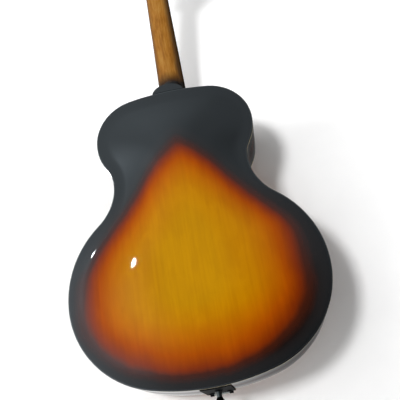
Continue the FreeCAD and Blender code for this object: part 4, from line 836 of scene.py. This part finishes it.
BURST_FROM, BURST_TO, BURST_DRIFT = -100.0, 40.0, 14
BURST_STOPS = [(0.14, paint(180, 128, 0)), (0.39, paint(180, 118, 0)), (0.53, paint(174, 98, 0)),
               (0.63, paint(160, 72, 0)), (0.71, paint(122, 43, 0)), (0.77, paint(62, 22, 6)),
               (0.85, paint(20, 10, 7)), (0.95, paint(6, 6, 7))]
AMBER_COAT, COAT_RISE = 0.12, (0.62, 0.9)
# The neck's edges darken as a stain; the middle of that darkening is shifted to the treble side, so
# the bass edge darkens sooner as painted shade
NECK_SHADE_SHIFT, NECK_EDGE_FADE = 0.0025, (0.012, 0.024)
HEEL_FADE, HEADSTOCK_FADE = (-0.28, -0.24), (0.0, 0.11)
HEADSTOCK_DARK, NECK_EDGE_STAIN_AND_SHADE = 0.92, 0.78
COVER_FADE = ((BACK_LEVEL - 1.3) * MM, (BACK_LEVEL - 0.7) * MM)


def burst_finish(name, grain_scale, figure):
    """Sunburst lacquer: amber to red to black by the stored distance, over grain and faint figure.

    The coat is thin over the amber and full over the black.
    """
    material, shader, start = new_finish(name, Roughness=0.5, Specular_IOR_Level=0.0,
                                         Coat_Roughness=0.025)
    cloud = noise(start, (14, 14, 6), 3.0)
    edge = attribute(start, "burst") + (cloud - 0.5) * BURST_DRIFT
    share = start.node("ShaderNodeMapRange", None,
                       {"Value": edge, "From Min": BURST_FROM, "From Max": BURST_TO})
    colour = ramp(start, share, BURST_STOPS)
    grain = noise(start, grain_scale, 5.0, 0.6)
    fleck = noise(start, figure, 3.0, 0.5, warp=0.6)
    tone = spread(start, grain, 0.3, 0.72) * 0.5 + spread(start, fleck, 0.3, 0.7) * 0.5
    shade = ramp(start, tone, [(0.0, paint(236, 230, 214)), (1.0, (1.0, 1.0, 1.0, 1.0))])
    link(shader, Base_Color=mix(start, 1.0, colour, shade, "MULTIPLY"))
    link(shader, Coat_Weight=AMBER_COAT + spread(start, share, *COAT_RISE) * (1 - AMBER_COAT))
    ripple = noise(start, (60, 60, 40), 2.0)
    link(shader, Normal=bump(start, ripple, 0.02, 0.0006))
    return material


def lacquered_neck():
    """Neck lacquer: clouded amber brown along the grain, darkening towards both edges as a stain,
    sooner on the bass edge as painted shade, and to black on the heel and the headstock."""
    material, shader, start = new_finish("amber_neck_lacquer", Roughness=0.5,
                                         Specular_IOR_Level=0.0, Coat_Weight=0.3,
                                         Coat_Roughness=0.06)
    across, height = axes(start, "XZ")
    cloud = noise(start, (60, 60, 22), 5.0, 0.6)
    lifted = height + (cloud - 0.5) * 0.012
    heel = 1 - spread(start, lifted, *HEEL_FADE)
    tip = spread(start, lifted, *HEADSTOCK_FADE) * HEADSTOCK_DARK
    # Painted shade: the shifted middle makes the bass edge darken sooner than the treble edge
    aside = start.math("ABSOLUTE", across - NECK_SHADE_SHIFT) + (cloud - 0.5) * 0.008
    edge = spread(start, aside, *NECK_EDGE_FADE) * NECK_EDGE_STAIN_AND_SHADE
    dark = start.math("MAXIMUM", start.math("MAXIMUM", heel, tip), edge)
    grain = noise(start, (420, 420, 7), 5.0, 0.65)
    colour = ramp(start, grain * 0.45 + cloud * 0.55,
                  [(0.3, paint(108, 62, 8)), (0.5, paint(150, 98, 28)),
                   (0.68, paint(172, 126, 56))])
    link(shader, Base_Color=mix(start, dark, colour, paint(18, 10, 5)))
    link(shader, Normal=bump(start, grain, 0.05, 0.0004))
    return material


def streaked_wood(name, dark, middle, light, roughness, scale):
    """Open wood: streaks along the grain and fine dark pores; darker streaks are rougher."""
    material, shader, start = new_finish(name, Specular_IOR_Level=0.35)
    streak = noise(start, scale, 6.0, 0.62, warp=0.4)
    pores = noise(start, tuple(side * 3.2 for side in scale), 3.0, 0.7)
    pore = spread(start, pores, 0.6, 0.72)
    colour = ramp(start, streak, [(0.28, dark), (0.5, middle), (0.74, light)])
    link(shader, Base_Color=mix(start, pore * 0.7, colour, dimmed(dark, 0.35)))
    link(shader, Roughness=roughness + streak * -0.12 + pore * 0.2)
    link(shader, Normal=bump(start, streak * 0.4 - pore, 0.25, 0.0003))
    return material


def bright_metal(name, colour, roughness, scratch):
    """Plated metal: fine brushing along X, cloudy tarnish that changes colour and gloss."""
    material, shader, start = new_finish(name, Metallic=1.0)
    cloud = noise(start, (140, 140, 140), 4.0)
    brush = noise(start, (80, 2600, 2600), 2.0)
    tarnish = spread(start, cloud, 0.45, 0.75)
    link(shader, Base_Color=mix(start, tarnish * 0.5, colour, dimmed(colour, 0.62)))
    link(shader, Roughness=roughness + tarnish * 0.14 + brush * scratch)
    link(shader, Normal=bump(start, brush, 0.06, 0.0001))
    return material


def clouded(name, cloud, stops, gloss, relief=None, **fixed):
    """Finish of one noise: it picks the colour, changes the roughness and may raise the surface."""
    material, shader, start = new_finish(name, **fixed)
    value = noise(start, *cloud)
    link(shader, Base_Color=ramp(start, value, stops))
    link(shader, Roughness=gloss[0] + value * gloss[1])
    if relief:
        link(shader, Normal=bump(start, value, *relief))
    return material


def dark_tail_metal():
    """Dark bracket metal, darker than the plated nickel: dull and cloudy."""
    return clouded("dark_bracket_metal", ((180, 180, 180), 5.0, 0.6),
                   [(0.35, paint(10, 10, 11)), (0.7, paint(30, 30, 30))], (0.42, 0.2),
                   (0.1, 0.0002), Specular_IOR_Level=0.02)


def cream_plastic(name, light, dark, roughness, scale):
    """Aged plastic or bone: soft clouds of two tones under a slight gloss."""
    return clouded(name, (scale, 5.0, 0.6, 0.8), [(0.3, dark), (0.68, light)], (roughness, 0.1),
                   (0.04, 0.0003), Specular_IOR_Level=0.4, Coat_Weight=0.3, Coat_Roughness=0.12)


def pearl_dots():
    """Mother of pearl: drifting bands of cool and warm white."""
    return clouded("pearl_inlay", ((500, 500, 900), 3.0, 0.5, 2.5),
                   [(0.3, paint(196, 204, 200)), (0.5, paint(232, 230, 222)),
                    (0.7, paint(206, 190, 200))], (0.16, 0.15),
                   Specular_IOR_Level=0.6, Coat_Weight=0.5, Coat_Roughness=0.1)


def edge_binding():
    """Cream binding whose face towards the back lies under the dark edge of the sunburst."""
    material, shader, start = new_finish("edge_binding_lacquer", Specular_IOR_Level=0.3,
                                         Coat_Weight=1.0, Coat_Roughness=0.05)
    cloud = noise(start, (60, 60, 60), 5.0, 0.6, warp=0.8)
    (level,) = axes(start, "Y")
    covered = spread(start, level + (cloud - 0.5) * 0.0003, *COVER_FADE)
    cream = ramp(start, cloud, [(0.3, paint(206, 186, 138)), (0.68, paint(226, 212, 172))])
    link(shader, Base_Color=mix(start, covered, cream, paint(8, 8, 9)))
    link(shader, Roughness=0.35 + cloud * 0.1)
    return material


def black_gloss():
    """Black lacquer with faint dust and ripples."""
    material, shader, start = new_finish("black_gloss_lacquer", Specular_IOR_Level=0.0,
                                         Coat_Weight=1.0, Coat_Roughness=0.03)
    dust = noise(start, (260, 260, 260), 3.0)
    colour = ramp(start, dust, [(0.35, paint(6, 6, 7)), (0.75, paint(13, 12, 12))])
    link(shader, Base_Color=colour)
    link(shader, Roughness=0.28 + dust * 0.1)
    link(shader, Normal=bump(start, noise(start, (70, 70, 70), 2.0), 0.03, 0.0005))
    return material


def tortoise_shell():
    """Mottled plastic: amber and dark brown clouds with sharp islands."""
    material, shader, start = new_finish("tortoise_plastic_gloss", Specular_IOR_Level=0.5,
                                         Coat_Weight=0.8, Coat_Roughness=0.05)
    cloud = noise(start, (46, 46, 30), 4.0, 0.5, warp=1.6)
    island = noise(start, (90, 90, 70), 3.0, 0.5, warp=1.0)
    colour = ramp(start, cloud * 0.7 + island * 0.3,
                  [(0.36, paint(22, 9, 6)), (0.48, paint(52, 18, 8)), (0.56, paint(112, 46, 14)),
                   (0.66, paint(152, 78, 26))])
    link(shader, Base_Color=colour)
    link(shader, Roughness=0.22 + island * 0.1)
    return material


def wire(name, colour, pitch, depth):
    """String wire: windings as a sine of the length walked and the turn around, with tarnish; the
    grooves between the windings are darker, as painted shade.
    """
    material, shader, start = new_finish(name, Metallic=1.0)
    cloud = noise(start, (300, 300, 60), 4.0)
    link(shader, Roughness=0.22 + cloud * 0.18)
    walked = attribute(start, "walked") * (2 * math.pi / pitch)
    ring = start.math("SINE", walked + attribute(start, "turned"))
    # Painted shade: the grooves between the windings get a darker colour
    groove = spread(start, ring, -1.0, 0.2)
    link(shader, Base_Color=mix(start, groove, dimmed(colour, 1 - depth), colour))
    link(shader, Normal=bump(start, ring, 0.5 * depth, 0.0001))
    return material


back_lacquer = burst_finish("sunburst_lacquer_back", (210, 40, 7), (48, 40, 20))
top_lacquer = burst_finish("sunburst_lacquer_front", (950, 40, 5), (20, 20, 8))
rib_lacquer = burst_finish("sunburst_lacquer_ribs", (60, 700, 30), (70, 8, 70))
# The strap button and its screw get a darker nickel than the plated parts
dark_strap_metal = bright_metal("dark_nickel_plate", paint(92, 92, 90), 0.24, 0.08)
dark_tail = dark_tail_metal()
# The bracket and its screws get a darker metal than the plated nickel
TAIL_METAL = {"tailpiece_bracket": dark_tail, "tailpiece_screws": dark_tail,
              "strap_button": dark_strap_metal, "strap_button_screw": dark_strap_metal}
FINISHES = {
    "binding_cream": edge_binding(),
    "neck_lacquer": lacquered_neck(),
    "dark_wood": streaked_wood("rosewood", paint(30, 15, 10), paint(56, 30, 19), paint(86, 50, 31),
                               0.55, (300, 300, 12)),
    "bare_wood": streaked_wood("bare_spruce", paint(176, 138, 90), paint(206, 170, 120),
                               paint(222, 190, 142), 0.7, (260, 260, 9)),
    "black_lacquer": black_gloss(),
    "nickel": bright_metal("aged_nickel_plate", paint(205, 200, 190), 0.16, 0.1),
    "steel": bright_metal("plain_rod_steel", paint(150, 150, 152), 0.3, 0.1),
    "fret_wire": bright_metal("worn_fret_wire", paint(212, 210, 204), 0.2, 0.12),
    "bronze_wound": wire("wound_bronze_string", paint(196, 158, 104), 0.32, 0.5),
    "plain_steel": wire("plain_steel_string", paint(206, 206, 206), 2.4, 0.06),
    "bone": cream_plastic("polished_bone", paint(236, 228, 206), paint(216, 202, 168), 0.35,
                          (220, 220, 80)),
    "pearl": pearl_dots(),
    "tortoise_plastic": tortoise_shell(),
    "ivory_plastic": cream_plastic("ivory_button_plastic", paint(232, 220, 186),
                                   paint(208, 188, 140), 0.25, (120, 120, 120)),
}


def finish_for(node):
    """Finish of a node by its slot; plates have their own lacquer, the tail a darker metal."""
    if slots[node] == "burst_lacquer":
        return {"back_plate": back_lacquer, "top_plate": top_lacquer}.get(node, rib_lacquer)
    return TAIL_METAL.get(node, FINISHES[slots[node]])


for name, node in nodes.items():
    for shown in stand_ins.get(name, [node]):
        shown.data.materials.clear()
        shown.data.materials.append(finish_for(name))


# Stage and light

SHEET_HALF, WALL_GAP = 8.0, 0.003
FLOOR, WALL_TOP, WALL_ROWS = -1.35, 2.5, 78
LEAN, LEAN_FROM, LEAN_POWER = 0.24, -0.42, 1.2
WALL_GLOW, FLOOR_GLOW, GLOW_RISE = (0.005, 0.34), (0.72, 0.72), (-0.42, -0.3)
SIDE_GLOW, SIDE_GLOW_RISE = 0.2, (0.24, 0.5)
CLEAR_PATCHES = ((-0.69, 0.14), (-0.47, 0.06))
PATCH_CORE = 0.8


def start_of(owner):
    """Start for the nodes of a material or a world, without those that it came with."""
    owner.use_nodes = True
    owner.node_tree.nodes.clear()
    return Value(owner.node_tree, None)


def stage_sheet(name, profile):
    """Paper sheet: a profile of depths and heights carried along X."""
    depth, height = np.asarray(profile, float).T
    points = [np.stack([np.full(len(depth), side), depth, height], -1)
              for side in (SHEET_HALF, -SHEET_HALF)]
    mesh = bpy.data.meshes.new(name)
    mesh.from_pydata(np.concatenate(points).tolist(), [], grid_faces(2, len(depth), flip=True))
    mesh.polygons.foreach_set("use_smooth", np.full(len(mesh.polygons), True))
    sheet = bpy.data.objects.new(name, mesh)
    bpy.context.scene.collection.objects.link(sheet)
    return sheet


def stage_finish(name, low_glow, high_glow, one_sided):
    """White paper: diffuse, with a glow for the camera that grows above the body and past its bass
    side; a one-sided sheet is clear from its back and over round patches that the body covers."""
    material = bpy.data.materials.new(name)
    start = start_of(material)
    grain = noise(start, (8, 8, 8), 3.0)
    paper = start.node("ShaderNodeBsdfDiffuse", None, {
        "Color": ramp(start, grain, [(0.3, (0.88, 0.88, 0.88, 1)), (0.7, (0.92, 0.92, 0.92, 1))])})
    seen = start.node("ShaderNodeLightPath", output="Is Camera Ray")
    side, height = axes(start, "XZ")
    level = low_glow + spread(start, height, *GLOW_RISE) * (high_glow - low_glow)
    level = level + spread(start, side * -1, *SIDE_GLOW_RISE) * SIDE_GLOW
    glow = start.node("ShaderNodeEmission", None, {"Color": (1, 1, 1, 1), "Strength": seen * level})
    lit = start.node("ShaderNodeAddShader", None, {0: paper, 1: glow})
    if one_sided:
        hidden = start.node("ShaderNodeNewGeometry", output="Backfacing")
        clear = start.node("ShaderNodeBsdfTransparent")
        for middle, reach in CLEAR_PATCHES:
            square = side * side + (height - middle) * (height - middle)
            patch = 1 - spread(start, square, PATCH_CORE * reach ** 2, reach ** 2)
            hidden = start.math("MAXIMUM", hidden, patch)
        lit = start.node("ShaderNodeMixShader", None, {0: seen * (1 - hidden), 1: clear, 2: lit})
    start.node("ShaderNodeOutputMaterial", None, {"Surface": lit})
    return material


rise = np.linspace(FLOOR, WALL_TOP, WALL_ROWS)
lean = LEAN * np.maximum(rise - LEAN_FROM, 0) ** LEAN_POWER
wall = stage_sheet("paper_wall", np.stack([cad_box[0].y - WALL_GAP - lean, rise], -1))
floor = stage_sheet("paper_floor", [(SHEET_HALF, FLOOR), (-SHEET_HALF, FLOOR)])
wall.data.materials.append(stage_finish("white_wall", *WALL_GLOW, one_sided=True))
floor.data.materials.append(stage_finish("white_floor", *FLOOR_GLOW, one_sided=False))


def lamp(name, place, aim, width, height, power):
    """Rectangular lamp at a place, turned to an aim."""
    light = bpy.data.lights.new(name, "AREA")
    light.shape = "RECTANGLE"
    light.size, light.size_y, light.energy = width, height, power
    holder = bpy.data.objects.new(name, light)
    holder.location = place
    holder.rotation_euler = (Vector(aim) - Vector(place)).to_track_quat("-Z", "Y").to_euler()
    bpy.context.scene.collection.objects.link(holder)
    return holder


SPINDLE = Vector((0.0915, 0.0882, -0.6553))
SPARK_WAY = Vector((0.4236, 0.7949, 0.4323))
SPARK_DISTANCE = 2.5
BODY_AIM, FRONT_AIM = (0, 0, -0.6), (0, 0, -0.45)

# Narrow lamps that show only in the gloss of the back, as its small sparks
for name, width, height, power, cone in (("spark_lamp", 0.04, 0.14, 0.036, 3.0),
                                         ("streak_lamp", 0.012, 0.12, 0.004, 4.5),
                                         ("glint_lamp", 0.01, 0.24, 0.0022, 1.5)):
    spark = lamp(name, SPINDLE + SPARK_WAY * SPARK_DISTANCE, SPINDLE, width, height, power)
    spark.data.spread = math.radians(cone)
    spark.visible_diffuse = False
key = lamp("key_lamp", (1.75, 4.6, -0.35), BODY_AIM, 0.8, 0.8, 146)
soft = lamp("soft_lamp", (2.3, 3.6, 0.4), BODY_AIM, 3.0, 3.0, 52)
key.visible_glossy = soft.visible_glossy = floor.visible_glossy = False
lamp("front_lamp", (1.1, -2.3, 0.9), FRONT_AIM, 1.9, 1.9, 64)

FILL = 0.23
ROOM_DARK, ROOM_ABOVE, ROOM_SIDE, ROOM_WINDOW = 0.1, 0.58, 0.5, 1.8
PAPER_DARK, PAPER_SIDE = 0.12, 1.1
ROOM_TINT = (0.85, 1.0, 1.1, 1)


def studio_world():
    """Plain grey light all round; the camera sees white, and gloss sees a cool room behind the
    guitar, brighter above and at the treble side, and pale paper ahead of it."""
    world = bpy.data.worlds.new("studio")
    bpy.context.scene.world = world
    start = start_of(world)
    x, y, z = axes(start, "XYZ", "Generated")
    low = (1 - spread(start, z, 0.2, 0.6)) * (0.25 + spread(start, y, 0.6, 0.85) * 0.75)
    window = spread(start, x, 0.15, 0.45) * low * ROOM_WINDOW
    aside = spread(start, x, -0.12, 0.25) * ROOM_SIDE + window
    behind = ROOM_DARK + spread(start, z, 0.0, 0.55) * ROOM_ABOVE + aside
    ahead = PAPER_DARK + spread(start, x, -0.25, 0.5) * PAPER_SIDE
    side = spread(start, y, -0.2, 0.2)
    room = ahead + side * (behind - ahead)
    camera = start.node("ShaderNodeLightPath", output="Is Camera Ray")
    gloss = start.node("ShaderNodeLightPath", output="Is Glossy Ray")
    strength = FILL + gloss * (room - FILL) + camera * (1.0 - FILL)
    tint = mix(start, gloss * side, (1, 1, 1, 1), ROOM_TINT)
    light = start.node("ShaderNodeBackground", None, {"Color": tint, "Strength": strength})
    start.node("ShaderNodeOutputWorld", None, {"Surface": light})


studio_world()
